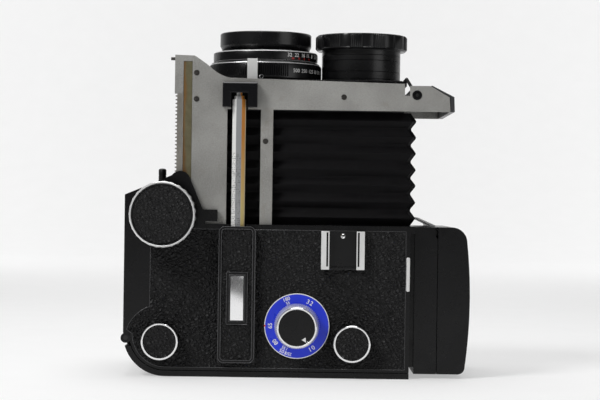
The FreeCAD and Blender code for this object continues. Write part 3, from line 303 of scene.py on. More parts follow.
def rod_enamel():
    """Eight enamelled facets: white, grey, orange and beige in turn, with a printed scale."""
    shader = Shader("rod_enamel", (0.8, 0.75, 0.62), 0.35)
    center = middle("scale_rod")
    warm_low, warm_high, print_top = 84.0, 122.0, 112.0
    beige_edge, print_edge = (2.9, 3.1), 1.1
    axes = shader.axes()
    x = shader.math("SUBTRACT", axes["X"], center.x)
    y = shader.math("SUBTRACT", axes["Y"], center.y)
    height = axes["Z"]
    turn = shader.math("MULTIPLY", shader.math("ARCTAN2", y, x), 8 / TAU)
    facet = shader.math("FLOOR", shader.math("ADD", turn, 0.5))
    white, grey = (0.80, 0.80, 0.78), (0.27, 0.275, 0.28)
    orange, yellow, beige = (0.62, 0.24, 0.04), (0.70, 0.55, 0.22), (0.60, 0.50, 0.33)
    warm = shader.mix(shader.ramp(height, warm_low, warm_high, 0.0, 1.0), yellow, orange)
    warm = shader.mix(shader.ramp(x, *beige_edge, 0.0, 1.0), warm, beige)
    color = white
    for number, shade in ((-2, grey), (-1, warm), (0, beige), (1, white), (2, grey), (3, orange)):
        color = shader.mix(shader.math("COMPARE", facet, number, 0.4), color, shade)
    # printed marks on the white and grey facets, over the lower half
    fine = shader.math("LESS_THAN", shader.math("FRACT", shader.math("MULTIPLY", height, 1.1)), 0.35)
    lower = shader.math("LESS_THAN", height, print_top)
    left = shader.math("LESS_THAN", x, print_edge)
    blot = shader.math("GREATER_THAN", shader.noise(0.6, 2.0, shader.stretched(1.0, 1.0, 0.7)), 0.54)
    marks = shader.math("MULTIPLY", shader.math("MULTIPLY", fine, lower),
                        shader.math("MULTIPLY", left, blot))
    shader.set("Base Color", shader.mix(marks, color, (0.03, 0.03, 0.03)))
    shader.set("Roughness", shader.ramp(shader.noise(6.0, 4.0), 0.3, 0.7, 0.28, 0.42))
    shader.bump(shader.noise(0.4), 0.008)
    return shader.material


# colour, roughness, width of the orange peel and its relief in mm, strength of reflection
PAINTS = {
    "black_enamel": ((0.0022, 0.0022, 0.0026), 0.26, 0.35, 0.012, 0.3),
    "inner_black": ((0.005, 0.005, 0.005), 0.75, 0.2, 0.03),
    "cover_grey": ((0.03, 0.031, 0.033), 0.38, 0.3, 0.014),
    "black_anodised": ((0.003, 0.003, 0.0034), 0.32, 0.2, 0.008, 0.35),
    "lens_black": ((0.0025, 0.0025, 0.003), 0.28, 0.4, 0.002, 0.42),
    "dial_blue": ((0.006, 0.03, 0.64), 0.3, 0.3, 0.006),
    "black_wire": ((0.01, 0.01, 0.01), 0.3),
    "black_plastic": ((0.012, 0.012, 0.012), 0.5, 0.3, 0.02),
    "gloss_black": ((0.004, 0.004, 0.005), 0.14, 0.4, 0.004),
    "white_paint": ((0.86, 0.86, 0.84), 0.4),
    "red_paint": ((0.55, 0.02, 0.015), 0.4),
    # lighter grey for the rims along the leather and band edges: a painted highlight
    "painted_highlight_grey": ((0.07, 0.07, 0.073), 0.24, 0.3, 0.004),
}

# colour, roughness, squeeze of the scratches, their width and relief in mm, metallic share
METALS = {
    "bright_chrome": ((0.93, 0.93, 0.94), 0.14),
    "steel": ((0.42, 0.40, 0.36), 0.36, (1, 1, 0.1), 0.3, 0.012),
    "brass": ((0.52, 0.40, 0.2), 0.3, (1, 1, 0.1), 0.3, 0.01),
    "matt_silver": ((0.86, 0.86, 0.85), 0.42, (1, 1, 1), 0.25, 0.006, 0.45),
    "dark_steel": ((0.085, 0.08, 0.075), 0.35),
    "turned_silver": ((0.88, 0.88, 0.88), 0.3, (1, 1, 1), 0.25, 0.006, 0.6),
}

LOOK = {
    **{name: enamel(name, *values) for name, values in PAINTS.items()},
    **{name: bare_metal(name, *values) for name, values in METALS.items()},
    "leatherette": leatherette(),
    "bellows_cloth": bellows_cloth(),
    "satin_grey": satin_plate(),
    "rod_enamel": rod_enamel(),
    "lens_glass": lens_glass(),
    "screen_glass": ground_glass(),
    "mirror": mirror_glass(),
    "stained_brass": stained_groove(),
}


# ---------------------------------------------------------------- mesh helpers

def smoothed(mesh, angle=35):
    """Smooth shading with edges sharper than the angle kept crisp."""
    mesh.polygons.foreach_set("use_smooth", [True] * len(mesh.polygons))
    mesh.set_sharp_from_angle(angle=math.radians(angle))


def add_object(name, mesh, looks, body, slot_name, nodes=()):
    """Finished piece: linked, painted, riding its body, standing for CAD nodes."""
    piece = bpy.data.objects.new(name, mesh)
    bpy.context.scene.collection.objects.link(piece)
    indexes = [face.material_index for face in mesh.polygons]
    mesh.materials.clear()
    for look in looks:
        mesh.materials.append(LOOK[look])
    mesh.polygons.foreach_set("material_index", [min(i, len(looks) - 1) for i in indexes])
    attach(piece, body)
    if nodes:
        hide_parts(*nodes)
    return piece


def finished(work, mesh):
    """Mesh with a bmesh written into it; the bmesh is freed."""
    work.to_mesh(mesh)
    work.free()
    return mesh


def applied(piece):
    """Mesh of an object with its modifiers or its curve bevel applied; the object goes."""
    bpy.context.scene.collection.objects.link(piece)
    bpy.context.view_layer.update()
    mesh = bpy.data.meshes.new_from_object(
        piece.evaluated_get(bpy.context.evaluated_depsgraph_get()))
    bpy.data.objects.remove(piece)
    return mesh


def dress(node, look=None):
    """CAD node shown as it is, with its procedural material."""
    NODES[node].data.materials.clear()
    NODES[node].data.materials.append(LOOK[look or SLOT_OF[node]])
    smoothed(NODES[node].data)


def bevelled(node, width, look=None, segments=2, pick=None, extra=(), merge=True):
    """Copy of a CAD node with its edges broken by this many millimetres.

    pick takes a face centre and normal, in mm, and gives the index of its material:
    0 for look, 1 and up for extra. merge joins flat triangles first, which a face with
    holes in it doesn't stand.
    """
    mesh = NODES[node].data.copy()
    mesh.name = node + "_look"
    work = bmesh.new()
    work.from_mesh(mesh)
    bmesh.ops.remove_doubles(work, verts=work.verts, dist=0.002 * MM)
    if merge:
        bmesh.ops.dissolve_limit(work, angle_limit=math.radians(0.6), verts=work.verts,
                                 edges=work.edges)
    piece = bpy.data.objects.new(node + "_look", finished(work, mesh))
    tool = piece.modifiers.new("edges", "BEVEL")
    tool.width = width * MM
    tool.segments = segments
    tool.limit_method = "ANGLE"
    tool.angle_limit = math.radians(30)
    mesh.polygons.foreach_set("use_smooth", [True] * len(mesh.polygons))
    piece.modifiers.new("shading", "WEIGHTED_NORMAL").keep_sharp = True
    final = applied(piece)
    for face in final.polygons:
        face.material_index = pick(face.center / MM, face.normal) if pick else 0
    return add_object(node + "_piece", final, [look or SLOT_OF[node], *extra], BODY_OF[node],
                      SLOT_OF[node], (node,))


def mesh_from(name, points, faces, indexes=None, angle=35):
    """Mesh from points in mm."""
    mesh = bpy.data.meshes.new(name)
    mesh.from_pydata([Vector(p) * MM for p in points], [], faces)
    mesh.validate()
    work = bmesh.new()
    work.from_mesh(mesh)
    bmesh.ops.recalc_face_normals(work, faces=work.faces)
    finished(work, mesh)
    if indexes:
        mesh.polygons.foreach_set("material_index", indexes)
    smoothed(mesh, angle)
    return mesh


def strips(rows, count, closed=True, start=0):
    """Four-sided faces between rows of this many points, numbered from start."""
    faces = []
    for row in range(rows - 1):
        base = start + row * count
        for step in range(count if closed else count - 1):
            after = (step + 1) % count
            faces.append((base + step, base + after, base + count + after, base + count + step))
    return faces


def on_axis(axis, center, out):
    """Function that puts (radius, angle, height) in space round an axis, in mm.

    axis is Y or Z; out is the sign of height along it; angle 0 points to +X.
    """
    def place(radius, angle, height):
        along = radius * math.cos(angle)
        across = radius * math.sin(angle)
        if axis == "Z":
            return (center[0] + along, center[1] + across, height * out)
        return (center[0] + along, height * out, center[1] + across)
    return place


def lathe(name, place, profile, steps, relief=None):
    """Mesh turned from a profile of (radius, height, material index, relief depth).

    The last two are 0 where they are left out. Each entry's material runs to the next
    entry. relief(angle step, steps) gives 0 to 1 and is taken off the radius times the
    entry's depth. A first or last radius of 0 closes the end.
    """
    profile = [(*entry, 0, 0)[:4] for entry in profile]
    points, faces, indexes, rows = [], [], [], []
    for radius, height, _, depth in profile:
        if radius < 1e-6:
            rows.append([len(points)] * steps)
            points.append(place(0, 0, height))
            continue
        row = []
        for step in range(steps):
            lower = depth * relief(step, steps) if relief and depth else 0.0
            row.append(len(points))
            points.append(place(radius - lower, TAU * step / steps, height))
        rows.append(row)
    for low, high, entry in zip(rows, rows[1:], profile):
        for step in range(steps):
            after = (step + 1) % steps
            corners = [low[step], low[after], high[after], high[step]]
            unique = list(dict.fromkeys(corners))
            if len(unique) > 2:
                faces.append(unique)
                indexes.append(entry[2])
    return mesh_from(name, points, faces, indexes, 32)


def round_node(node, axis="Y"):
    """A round CAD node's lowest and highest corners, centre across its axis, and radius."""
    low, high = span(node)
    across = (low.z + high.z) / 2 if axis == "Y" else (low.y + high.y) / 2
    return low, high, ((low.x + high.x) / 2, across), (high.x - low.x) / 2


def turned(node, label, place, profile, looks, steps=160, relief=None):
    """Turned piece that stands for a CAD node."""
    mesh = lathe(label + "_look", place, profile, steps, relief)
    add_object(label + "_piece", mesh, looks, BODY_OF[node], SLOT_OF[node], (node,))


def ridges(count):
    """Relief of straight ridges round the edge, this many in a turn."""
    def depth(step, steps):
        return 0.0 if (step * count / steps) % 1 < 0.5 else 1.0
    return depth


def block(name, low, high, bevel, look, body, slot_name):
    """Small bevelled block between two corners in mm."""
    work = bmesh.new()
    bmesh.ops.create_cube(work, size=1)
    middle_point = (Vector(low) + Vector(high)) / 2
    size = Vector(high) - Vector(low)
    for vertex in work.verts:
        vertex.co = Vector(middle_point[i] + vertex.co[i] * size[i] for i in range(3)) * MM
    bmesh.ops.bevel(work, geom=work.edges[:], offset=bevel * MM, segments=2, affect="EDGES")
    mesh = finished(work, bpy.data.meshes.new(name))
    smoothed(mesh)
    return add_object(name, mesh, [look], body, slot_name)


def lettering(name, lines, look, body, slot_name):
    """Raised figures; lines is a list of (text, height in mm, matrix in mm)."""
    work = bmesh.new()
    for text, height, matrix in lines:
        curve = bpy.data.curves.new(name, "FONT")
        curve.body = text
        curve.align_x = "CENTER"
        curve.align_y = "CENTER"
        curve.size = height * 1.35
        curve.extrude = 0.02
        curve.resolution_u = 3
        curve.offset = 0.03
        holder = bpy.data.objects.new(name, curve)
        flat = holder.to_mesh()
        flat.transform(matrix)
        work.from_mesh(flat)
        holder.to_mesh_clear()
        bpy.data.objects.remove(holder)
    for vertex in work.verts:
        vertex.co = vertex.co * MM
    add_object(name, finished(work, bpy.data.meshes.new(name)), [look], body, slot_name)


def axes_matrix(right, up, origin):
    """Matrix that takes flat text to a place with these directions."""
    right = Vector(right).normalized()
    up = Vector(up).normalized()
    out = right.cross(up)
    matrix = Matrix((right, up, out)).transposed().to_4x4()
    matrix.translation = Vector(origin)
    return matrix


def on_side(radius, angle, center, face_y):
    """Matrix for text on the left side, centred on a circle, its foot to the middle."""
    outward = Vector((math.cos(angle), 0, math.sin(angle)))
    right = Vector((math.sin(angle), 0, -math.cos(angle)))
    origin = Vector((center[0], face_y, center[1])) + outward * radius
    return axes_matrix(right, outward, origin)


def barrel_figures(name, node, center, z, size, figures, look="white_paint"):
    """Figures standing upright round a ring; figures is a list of (text, angle in degrees)."""
    radius = round_node(node)[3] + 0.01
    lines = []
    for text, angle in figures:
        outward = Vector((math.cos(math.radians(angle)), math.sin(math.radians(angle)), 0))
        right = Vector((-outward.y, outward.x, 0))
        lines.append((text, size, axes_matrix(right, (0, 0, 1), Vector((*center, z)) + outward * radius)))
    lettering(name, lines, look, BODY_OF[node], SLOT_OF[node])


# ---------------------------------------------------------------- body

def bead(node, face, radius=0.16):
    """Rounded rim along every edge of the node's outer face, which lies at this Y in mm; its lighter grey is
    a painted highlight along the edge.
    """
    work = bmesh.new()
    work.from_mesh(NODES[node].data)
    bmesh.ops.remove_doubles(work, verts=work.verts, dist=0.002 * MM)
    rim = [edge for edge in work.edges
           if len(edge.link_faces) == 2 and abs(edge.calc_face_angle(0)) > 0.9
           and all(abs(v.co.y / MM - face) < 0.02 for v in edge.verts)]
    curve = bpy.data.curves.new(node + "_rim", "CURVE")
    curve.dimensions = "3D"
    curve.bevel_depth = radius * MM
    curve.bevel_resolution = 2
    left = set(rim)
    while left:
        first = left.pop()
        chain = [first.verts[0], first.verts[1]]
        while True:
            following = [e for e in chain[-1].link_edges if e in left]
            if not following:
                break
            left.discard(following[0])
            chain.append(following[0].other_vert(chain[-1]))
        closed = chain[0] is chain[-1]
        if closed:
            chain.pop()
        spline = curve.splines.new("POLY")
        spline.points.add(len(chain) - 1)
        for point, vertex in zip(spline.points, chain):
            point.co = (*vertex.co, 1)
        spline.use_cyclic_u = closed
    work.free()
    mesh = applied(bpy.data.objects.new(node + "_rim", curve))
    smoothed(mesh, 50)
    # the rim's lighter grey is a painted highlight along the edge
    add_object(node + "_rim", mesh, ["painted_highlight_grey"], BODY_OF[node], "black_enamel")


def make_body():
    bevelled("body_shell", 0.35, merge=False)
    bevelled("front_cover", 0.45)
    field_y = span("channel_cover")[0].y + 0.3  # leather lies behind this, inside the rim
    bevelled("channel_cover", 0.3, "black_enamel", 2,
             lambda point, normal: int(normal.y < -0.9 and point.y > field_y), ("leatherette",))
    bevelled("left_leatherette", 0.3, merge=False)
    bevelled("right_leatherette", 0.3, merge=False)
    for node in ("left_leatherette", "channel_cover"):
        bead(node, span(node)[0].y)
    bead("right_leatherette", span("right_leatherette")[1].y)
    bevelled("strap_lugs", 0.6, "matt_silver", 3)
    bevelled("name_plate", 0.15, "black_enamel", 2, lambda point, normal: int(abs(normal.y) > 0.8),
             ("turned_silver",))
    bevelled("back_door", 0.4)
    bevelled("back_leatherette", 0.2)
    bevelled("back_latch", 0.2)
    dress("hinge_pin", "black_wire")
    for node in ("film_chamber", "reflex_mirror", "tripod_socket",
                 "focusing_screen", "pressure_plate", "supply_spool", "takeup_spool",
                 "light_baffle", "focus_shaft", "focus_racks"):
        dress(node)
    low, high = span("accessory_shoe")
    rail = 4.1
    bevelled("accessory_shoe", 0.18, "matt_silver", 2,
             lambda point, normal: int(low.x + rail < point.x < high.x - rail), ("black_anodised",))
    # black strips on the rails stand for the shade in the gap under each rail's lip: painted shade
    for index, x in enumerate((low.x + 2.6, high.x - 3.5)):
        block(f"shoe_gap_shade_{index}", (x, low.y - 0.02, low.z + 1.6), (x + 0.9, low.y + 0.2, high.z - 0.6),
              0.02, "black_enamel", "camera_body", "bright_chrome")
    floor_y = high.y - 1.6
    block("shoe_floor", (low.x + 1.6, floor_y - 0.25, low.z + 1.5),
          (high.x - 1.6, floor_y + 0.05, high.z - 0.2), 0.08, "black_anodised",
          "camera_body", "black_anodised")
    slotted_head("shoe_screw", ((low.x + high.x) / 2, high.z - 2.6), floor_y - 0.25, 1.25)


def slotted_head(name, center, face_y, radius):
    """Domed bright screw head with a slot, on the left side; the slot is a black bar laid on the dome,
    painted shade in the slot.
    """
    place = on_axis("Y", center, -1)
    base = -face_y
    mesh = lathe(name, place, [(radius, base - 0.05), (radius, base + 0.15), (radius * 0.8, base + 0.4),
                               (radius * 0.4, base + 0.5), (0, base + 0.52)], 32)
    add_object(name, mesh, ["bright_chrome"], "camera_body", "bright_chrome")
    # black bar over the dome for the slot: painted shade
    slot = block(name + "_slot", (center[0] - radius * 0.8, face_y - 0.56, center[1] - 0.14),
                 (center[0] + radius * 0.8, face_y - 0.3, center[1] + 0.14), 0.02,
                 "black_enamel", "camera_body", "black_enamel")
    shift = Matrix.Translation((center[0] * MM, 0, center[1] * MM))
    slot.data.transform(shift @ Matrix.Rotation(math.radians(-50), 4, "Y") @ shift.inverted())


def make_scale_window():
    """Polished plate with a narrow raised rim."""
    low, high = span("scale_window")
    rim = 0.55
    rows = [(0.0, high.y), (0.0, low.y + 0.1), (0.1, low.y), (rim, low.y),
            (rim + 0.12, low.y + 0.22)]
    points = []
    for inset, y in rows:
        points += [(low.x + inset, y, low.z + inset), (high.x - inset, y, low.z + inset),
                   (high.x - inset, y, high.z - inset), (low.x + inset, y, high.z - inset)]
    faces = strips(len(rows), 4)
    frame_faces = len(faces)
    # the middle bulges a little, which draws the light out along it
    columns, steps = 6, 24
    start = len(points)
    (x0, depth, z0), _, (x1, _, z1), _ = points[-4:]
    for step in range(steps + 1):
        for column in range(columns + 1):
            u, v = column / columns, step / steps
            lean = min(1, max(0, v + 0.12 * (u - 0.5)))
            rise = 0.42 * math.sin(math.pi * lean)
            points.append((x0 + (x1 - x0) * u, depth - rise, z0 + (z1 - z0) * v))
    faces += strips(steps + 1, columns + 1, False, start)
    mesh = mesh_from("scale_window_look", points, faces)
    for face in mesh.polygons[:frame_faces]:
        face.material_index = 1
    add_object("scale_window_piece", mesh, ["bright_chrome", "gloss_black"], "camera_body",
               "bright_chrome", ("scale_window",))


# ---------------------------------------------------------------- knobs and the dial

def make_spool_knob(node):
    """Knurled black knob with a bright ring round a leather disc."""
    low, high, center, radius = round_node(node)
    face, foot = -low.y, KNOB_FOOT
    place = on_axis("Y", center, -1)
    profile = [(3.2, -high.y), (3.2, foot), (radius - 0.3, foot),
               (radius, foot + 0.3, 0, 0.3), (radius, face - 1.5, 0, 0.3),
               (radius - 0.25, face - 1.2, 1), (radius - 0.35, face - 0.25, 1),
               (radius - 0.6, face, 1), (radius - 1.2, face, 1),
               (radius - 1.35, face - 0.3, 2), (radius * 0.6, face - 0.12, 2),
               (radius * 0.3, face - 0.05, 2), (0, face - 0.03, 2)]
    turned(node, node, place, profile, ["black_anodised", "bright_chrome", "leatherette"], 240, ridges(60))


def make_advance_knob():
    """Knurled knob on the right side, with the ears that carry its crank."""
    node = "advance_knob"
    low, high, center, radius = round_node(node)
    crank = middle("advance_crank")
    foot, face = KNOB_FOOT, KNOB_FOOT + 8.0
    place = on_axis("Y", center, 1)
    profile = [(3.2, low.y), (3.2, foot), (radius - 0.3, foot),
               (radius, foot + 0.3, 0, 0.35), (radius, face - 1.3, 0, 0.35),
               (radius - 0.25, face - 1.0, 1), (radius - 0.8, face, 1),
               (radius - 1.6, face, 1), (radius - 1.7, face - 0.2, 2),
               (radius * 0.5, face - 0.1, 2), (0, face - 0.1, 2)]
    turned(node, node, place, profile, ["black_anodised", "bright_chrome", "black_enamel"], 288, ridges(72))
    low_z = span("advance_crank")[0].z
    for index, side in enumerate((-1, 1)):
        inner, outer = sorted((crank.x + side * 3.3, crank.x + side * 5.3))
        block(f"crank_ear_{index}", (inner, face - 0.1, low_z - 0.4),
              (outer, high.y, low_z + 3.6), 0.3, "bright_chrome", BODY_OF[node], "bright_chrome")
    pin = on_axis_x((high.y - 1.8, low_z + 1.6), 1.2, crank.x - 4.0, crank.x + 4.0)
    add_object("crank_pin", pin, ["steel"], BODY_OF[node], "steel")
    bevelled("advance_crank", 0.4, segments=3)


def on_axis_x(center, radius, low, high):
    """Closed round pin along X."""
    def place(r, angle, height):
        return (height, center[0] + r * math.cos(angle), center[1] + r * math.sin(angle))
    return lathe("pin", place, [(0, low), (radius - 0.1, low), (radius, low + 0.1), (radius, high - 0.1),
                                (radius - 0.1, high), (0, high)], 32)


def scallops(count):
    """Relief of round lobes round an edge."""
    def depth(step, steps):
        return 1.0 - math.sin(math.pi * ((step * count / steps) % 1))
    return depth


def make_focus_knobs():
    """Scalloped knobs with a bright ring and a domed leather disc."""
    low, high, center, outer = round_node("focus_knob_left")
    foot, out = -high.y, -low.y
    disc, lobes = 14.55, 27
    for node, side in (("focus_knob_left", -1), ("focus_knob_right", 1)):
        place = on_axis("Y", center, side)
        profile = [(3.1, foot), (outer - 0.4, foot), (outer, foot + 0.4, 0, 0.6),
                   (outer, out - 2.3, 1, 0.6), (outer - 0.25, out - 1.7, 0, 0.4),
                   (outer - 0.5, out - 1.5), (outer - 0.3, out - 1.2, 1), (outer - 0.3, out - 0.4, 1),
                   (outer - 0.6, out, 1), (outer - 1.0, out, 1), (outer - 1.2, out - 0.2),
                   (disc + 0.05, out - 0.25), (disc + 0.05, out - 1.0), (0, out - 1.0)]
        turned(node, node, place, profile, ["black_anodised", "turned_silver"], lobes * 12, scallops(lobes))
    work = bmesh.new()
    for side in (-1, 1):
        place = on_axis("Y", center, side)
        profile = [(0, out - 0.95), (disc, out - 0.95), (disc, out - 0.6),
                   (disc - 0.35, out - 0.35), (disc * 0.8, out - 0.24),
                   (disc * 0.5, out - 0.14), (disc * 0.25, out - 0.1), (0, out - 0.08)]
        work.from_mesh(lathe("disc", place, profile, 96))
    mesh = finished(work, bpy.data.meshes.new("focus_grip_discs_look"))
    add_object("focus_grip_discs_piece", mesh, ["leatherette"], BODY_OF["focus_grip_discs"],
               "leatherette", ("focus_grip_discs",))


def make_lock_dial():
    """Blue lettered ring with a knurled silver knob, black face and pointer."""
    ring_low, ring_high, center, outer = round_node("dial_ring")
    face = -ring_low.y
    place = on_axis("Y", center, -1)
    inner = 4.2
    profile = [(inner, -ring_high.y), (outer, -ring_high.y, 1), (outer, face - 0.12, 1),
               (outer - 0.12, face, 1), (outer - 0.42, face), (inner, face),
               (inner, -ring_high.y)]
    turned("dial_ring", "dial_ring", place, profile, ["dial_blue", "white_paint"])
    plane = -face - 0.02
    # text, distance from the middle in mm, angle in degrees, size in mm
    figures = [("180", 14.3, 112, 1.9), ("55", 12.2, 112, 1.5), ("3", 13.3, 66, 2.3), ("2", 13.3, 58, 2.3),
               ("65", 13.3, 180, 2.2), ("80", 13.3, 217, 2.2), ("105", 14.4, 242, 1.9),
               ("135", 12.4, 242, 1.6), ("250", 14.4, 254, 1.6), ("1", 13.3, 300, 2.3),
               ("0", 13.3, 308, 2.3)]
    lines = [(text, size, on_side(away, math.radians(angle), center, plane))
             for text, away, angle, size in figures]
    lettering("dial_figures", lines, "white_paint", "camera_body", "dial_blue")
    dot = on_axis("Y", (center[0] - outer + 0.3, center[1]), -1)
    mesh = lathe("dial_dot", dot, [(0.5, face - 0.1), (0.45, face + 0.03), (0, face + 0.04)], 24)
    add_object("dial_dot", mesh, ["red_paint"], "camera_body", "dial_blue")

    low, high, _, radius = round_node("lock_dial")
    foot, top = face + 0.2, -low.y
    profile = [(4.0, -high.y), (4.0, foot), (radius + 0.8, foot),
               (radius + 1.1, foot + 0.3, 0, 0.35), (radius + 0.25, top - 1.7, 0, 0.35),
               (radius - 0.2, top - 1.2, 1), (radius - 0.35, top - 0.25, 1), (radius - 0.6, top, 1),
               (radius - 1.15, top, 1), (radius - 1.3, top - 0.12, 2),
               (0, top - 0.12, 2)]
    turned("lock_dial", "lock_dial", place, profile, ["turned_silver", "bright_chrome", "black_enamel"],
           288, ridges(72))
    angle = math.radians(-57)
    tip = Vector((math.cos(angle), 0, math.sin(angle)))
    side = Vector((-tip.z, 0, tip.x))
    origin = Vector((center[0], 0, center[1]))
    outline = [tip * (radius - 1.7), tip * (radius - 4.0) + side * 1.15, tip * (radius - 4.0) - side * 1.15]
    points = [origin + p + Vector((0, sunk - top, 0)) for sunk in (0.14, 0.06) for p in outline]
    mesh = mesh_from("dial_pointer", points, [(0, 1, 2), (3, 5, 4), (0, 3, 4, 1), (1, 4, 5, 2), (2, 5, 3, 0)])
    add_object("dial_pointer", mesh, ["white_paint"], "lock_dial", SLOT_OF["lock_dial"])


def make_release():
    """Plain black plunger with a groove near its rounded tip."""
    low, high, center, radius = round_node("release_plunger", "Z")
    profile = [
        (0, low.z), (radius, low.z), (radius, high.z - 4.0),
        (radius - 0.15, high.z - 3.9), (radius - 0.15, high.z - 3.6),
        (radius, high.z - 3.5), (radius, high.z - 0.9), (radius - 0.3, high.z - 0.4),
        (radius * 0.5, high.z - 0.08), (0, high.z)]
    turned("release_plunger", "release", on_axis("Z", center, 1), profile, ["black_anodised"], 48)


# ---------------------------------------------------------------- front standard and bellows

def make_standard():
    bevelled("standard_left_plate", 0.35)
    bevelled("standard_right_plate", 0.35)
    bevelled("standard_front_plate", 0.3)
    bevelled("bellows_frame", 0.3)
    bevelled("standard_top_cover", 0.35)
    bevelled("standard_screws", 0.1, "dark_steel")
    bevelled("rod_holder", 0.7, "gloss_black", 2)
    bevelled("lens_board", 0.3)
    dress("lens_bail")
    bevelled("scale_rod", 0.12)
    low = span("standard_left_plate")[0]
    face = -low.y
    for index, side in enumerate((-1, 1)):
        inner, outer = sorted((side * (face - 0.48), side * (face - 0.36)))
        block(f"guide_groove_{index}", (GROOVE_X[0], inner, low.z + 0.2),
              (GROOVE_X[1], outer, GROOVE_TOP), 0.05, "stained_brass", "front_standard", "brass")
    for index, side in enumerate((-1, 1)):
        mesh = lathe("washer", on_axis("Y", BAIL_PIVOT, side), [
            (0, face - 0.05), (2.45, face - 0.05), (2.45, face + 0.2), (2.2, face + 0.4),
            (1.3, face + 0.42), (1.2, face + 0.3), (0, face + 0.3)], 48)
        add_object(f"bail_washer_{index}", mesh, ["black_enamel"], "front_standard", "black_enamel")


def bellows_section(inset):
    """Corner-cut rectangle round the bellows, as (x, y) points in mm."""
    low, high = span("bellows")
    cut = 2.0
    x0, x1 = low.x + inset, high.x + 1.2 - inset
    y0, y1 = low.y + inset, high.y - inset
    return [(x0 + cut, y0), (x1 - cut, y0), (x1, y0 + cut), (x1, y1 - cut),
            (x1 - cut, y1), (x0 + cut, y1), (x0, y1 - cut), (x0, y0 + cut)]


def make_bellows():
    """Pleated square bellows, its folds slightly uneven."""
    low, high = span("bellows")
    folds = 7
    chance = random.Random(7)
    rows = []
    length = high.z - low.z
    for fold in range(folds):
        start = low.z + length * fold / folds
        pitch = length / folds
        uneven = chance.uniform(-0.25, 0.25)
        for share, inset in ((0.0, 2.4), (0.07, 2.3), (0.42, 0.25), (0.5, 0.0), (0.58, 0.25), (0.93, 2.3)):
            rows.append((start + pitch * share + (uneven if 0.2 < share < 0.8 else 0), inset))
    rows.append((high.z, 2.4))
    corners = len(bellows_section(0))
    per_side = 10
    points = []
    for z, inset in rows:
        outline = bellows_section(inset)
        for index in range(corners):
            a, b = outline[index], outline[(index + 1) % corners]
            for step in range(per_side):
                t = step / per_side
                wave = 0.12 * math.sin(9 * t + 1.7 * index + z)
                points.append((a[0] + (b[0] - a[0]) * t, a[1] + (b[1] - a[1]) * t,
                               min(high.z, max(low.z, z + (wave if 0 < inset < 2.35 else 0)))))
    mesh = mesh_from("bellows_look", points, strips(len(rows), corners * per_side), None, 24)
    thicken(mesh, 0.6)
    piece = add_object("bellows_piece", mesh, ["bellows_cloth"], BODY_OF["bellows"],
                       SLOT_OF["bellows"], ("bellows",))
    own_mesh(piece)


def thicken(mesh, depth):
    """Give an open sheet an inner face this many millimetres behind it."""
    work = bmesh.new()
    work.from_mesh(mesh)
    bmesh.ops.solidify(work, geom=work.faces[:], thickness=depth * MM)
    smoothed(finished(work, mesh), 24)


# ---------------------------------------------------------------- lenses

def make_taking_lens():
    """Stepped barrel, knurled speed ring and figured aperture ring."""
    low, high, center, _ = round_node("taking_barrel", "Z")
    place = on_axis("Z", center, 1)
    board = span("lens_board")[1].z
    top = high.z
    profile = [(LENS_THROAT, low.z), (18.0, low.z), (18.0, board), (22.0, board),
               (22.0, top - 9.0), (22.6, top - 9.0), (22.8, top - 8.8),
               (23.3, top - 7.4), (23.8, top - 6.6), (23.8, top - 0.5),
               (23.4, top, 1), (22.7, top), (22.6, top - 2.6)]
    radius, height = 22.2, top - 2.9
    while radius > 16.6:
        profile += [(radius, height), (radius - 0.3, height - 0.45)]
        radius -= 0.7
        height -= 0.17
    profile += [(16.2, top - 4.4, 1), (16.15, top - 6.4), (LENS_THROAT, top - 7.2), (LENS_THROAT, low.z)]
    turned("taking_barrel", "taking_barrel", place, profile, ["lens_black", "black_anodised"])
    dress("taking_elements")

    low, high, _, radius = round_node("speed_ring", "Z")
    bore = 22.05
    profile = [(bore, low.z), (radius - 0.5, low.z), (radius, low.z + 0.5),
               (radius, low.z + 1.2), (radius, low.z + 1.3, 0, 0.45), (radius, high.z - 2.0, 0, 0.45),
               (radius - 0.35, high.z - 1.3), (radius - 0.7, high.z - 1.1, 1, 0.2),
               (radius - 0.8, high.z - 0.75, 0, 0.1), (radius - 1.2, high.z - 0.2),
               (radius - 1.6, high.z), (bore, high.z), (bore, low.z)]
    turned("speed_ring", "speed_ring", place, profile, ["lens_black", "turned_silver"],
           480, figured_ridges(160, -64, 20))
    barrel_figures("speed_figures", "speed_ring", center, (low.z + high.z) / 2 - 0.4, 2.0,
                   (("500", -56), ("250", -46), ("125", -36), ("60", -27.5), ("30", -20),
                    ("15", -12.5), ("8", -6), ("4", 0), ("2", 6), ("1", 12)))

    low, high, _, radius = round_node("aperture_ring", "Z")
    profile = [(bore, low.z), (radius - 0.6, low.z, 1), (radius - 0.2, low.z + 0.35),
               (radius, low.z + 0.6), (radius, high.z - 0.9), (radius - 0.15, high.z - 0.5, 1),
               (radius - 0.5, high.z, 1), (radius - 1.1, high.z), (bore, high.z),
               (bore, low.z)]
    turned("aperture_ring", "aperture_ring", place, profile, ["lens_black", "turned_silver"])
    barrel_figures("stop_figures", "aperture_ring", center, (low.z + high.z) / 2 + 0.3, 2.0,
                   (("32", -62), ("22", -53), ("16", -44), ("11", -36), ("8", -28), ("5.6", -19),
                    ("4", -10), ("3.5", -2)))
    barrel_figures("red_figures", "aperture_ring", center, low.z + 1.1, 1.2,
                   (("30", -58), ("15", -50), ("8", -42), ("4", -34)), "red_paint")

    bevelled("cocking_lever", 0.12, "matt_silver")
    low = span("cocking_lever")[0]
    spring_coil(Vector((SPRING_X, low.y + 1.6, low.z + 1.5)))


def figured_ridges(count, low, high):
    """Ridges round an edge, left smooth where the figures stand between two angles."""
    def depth(step, steps):
        angle = (360 * step / steps + 180) % 360 - 180
        return 0.0 if low < angle < high else ridges(count)(step, steps)
    return depth


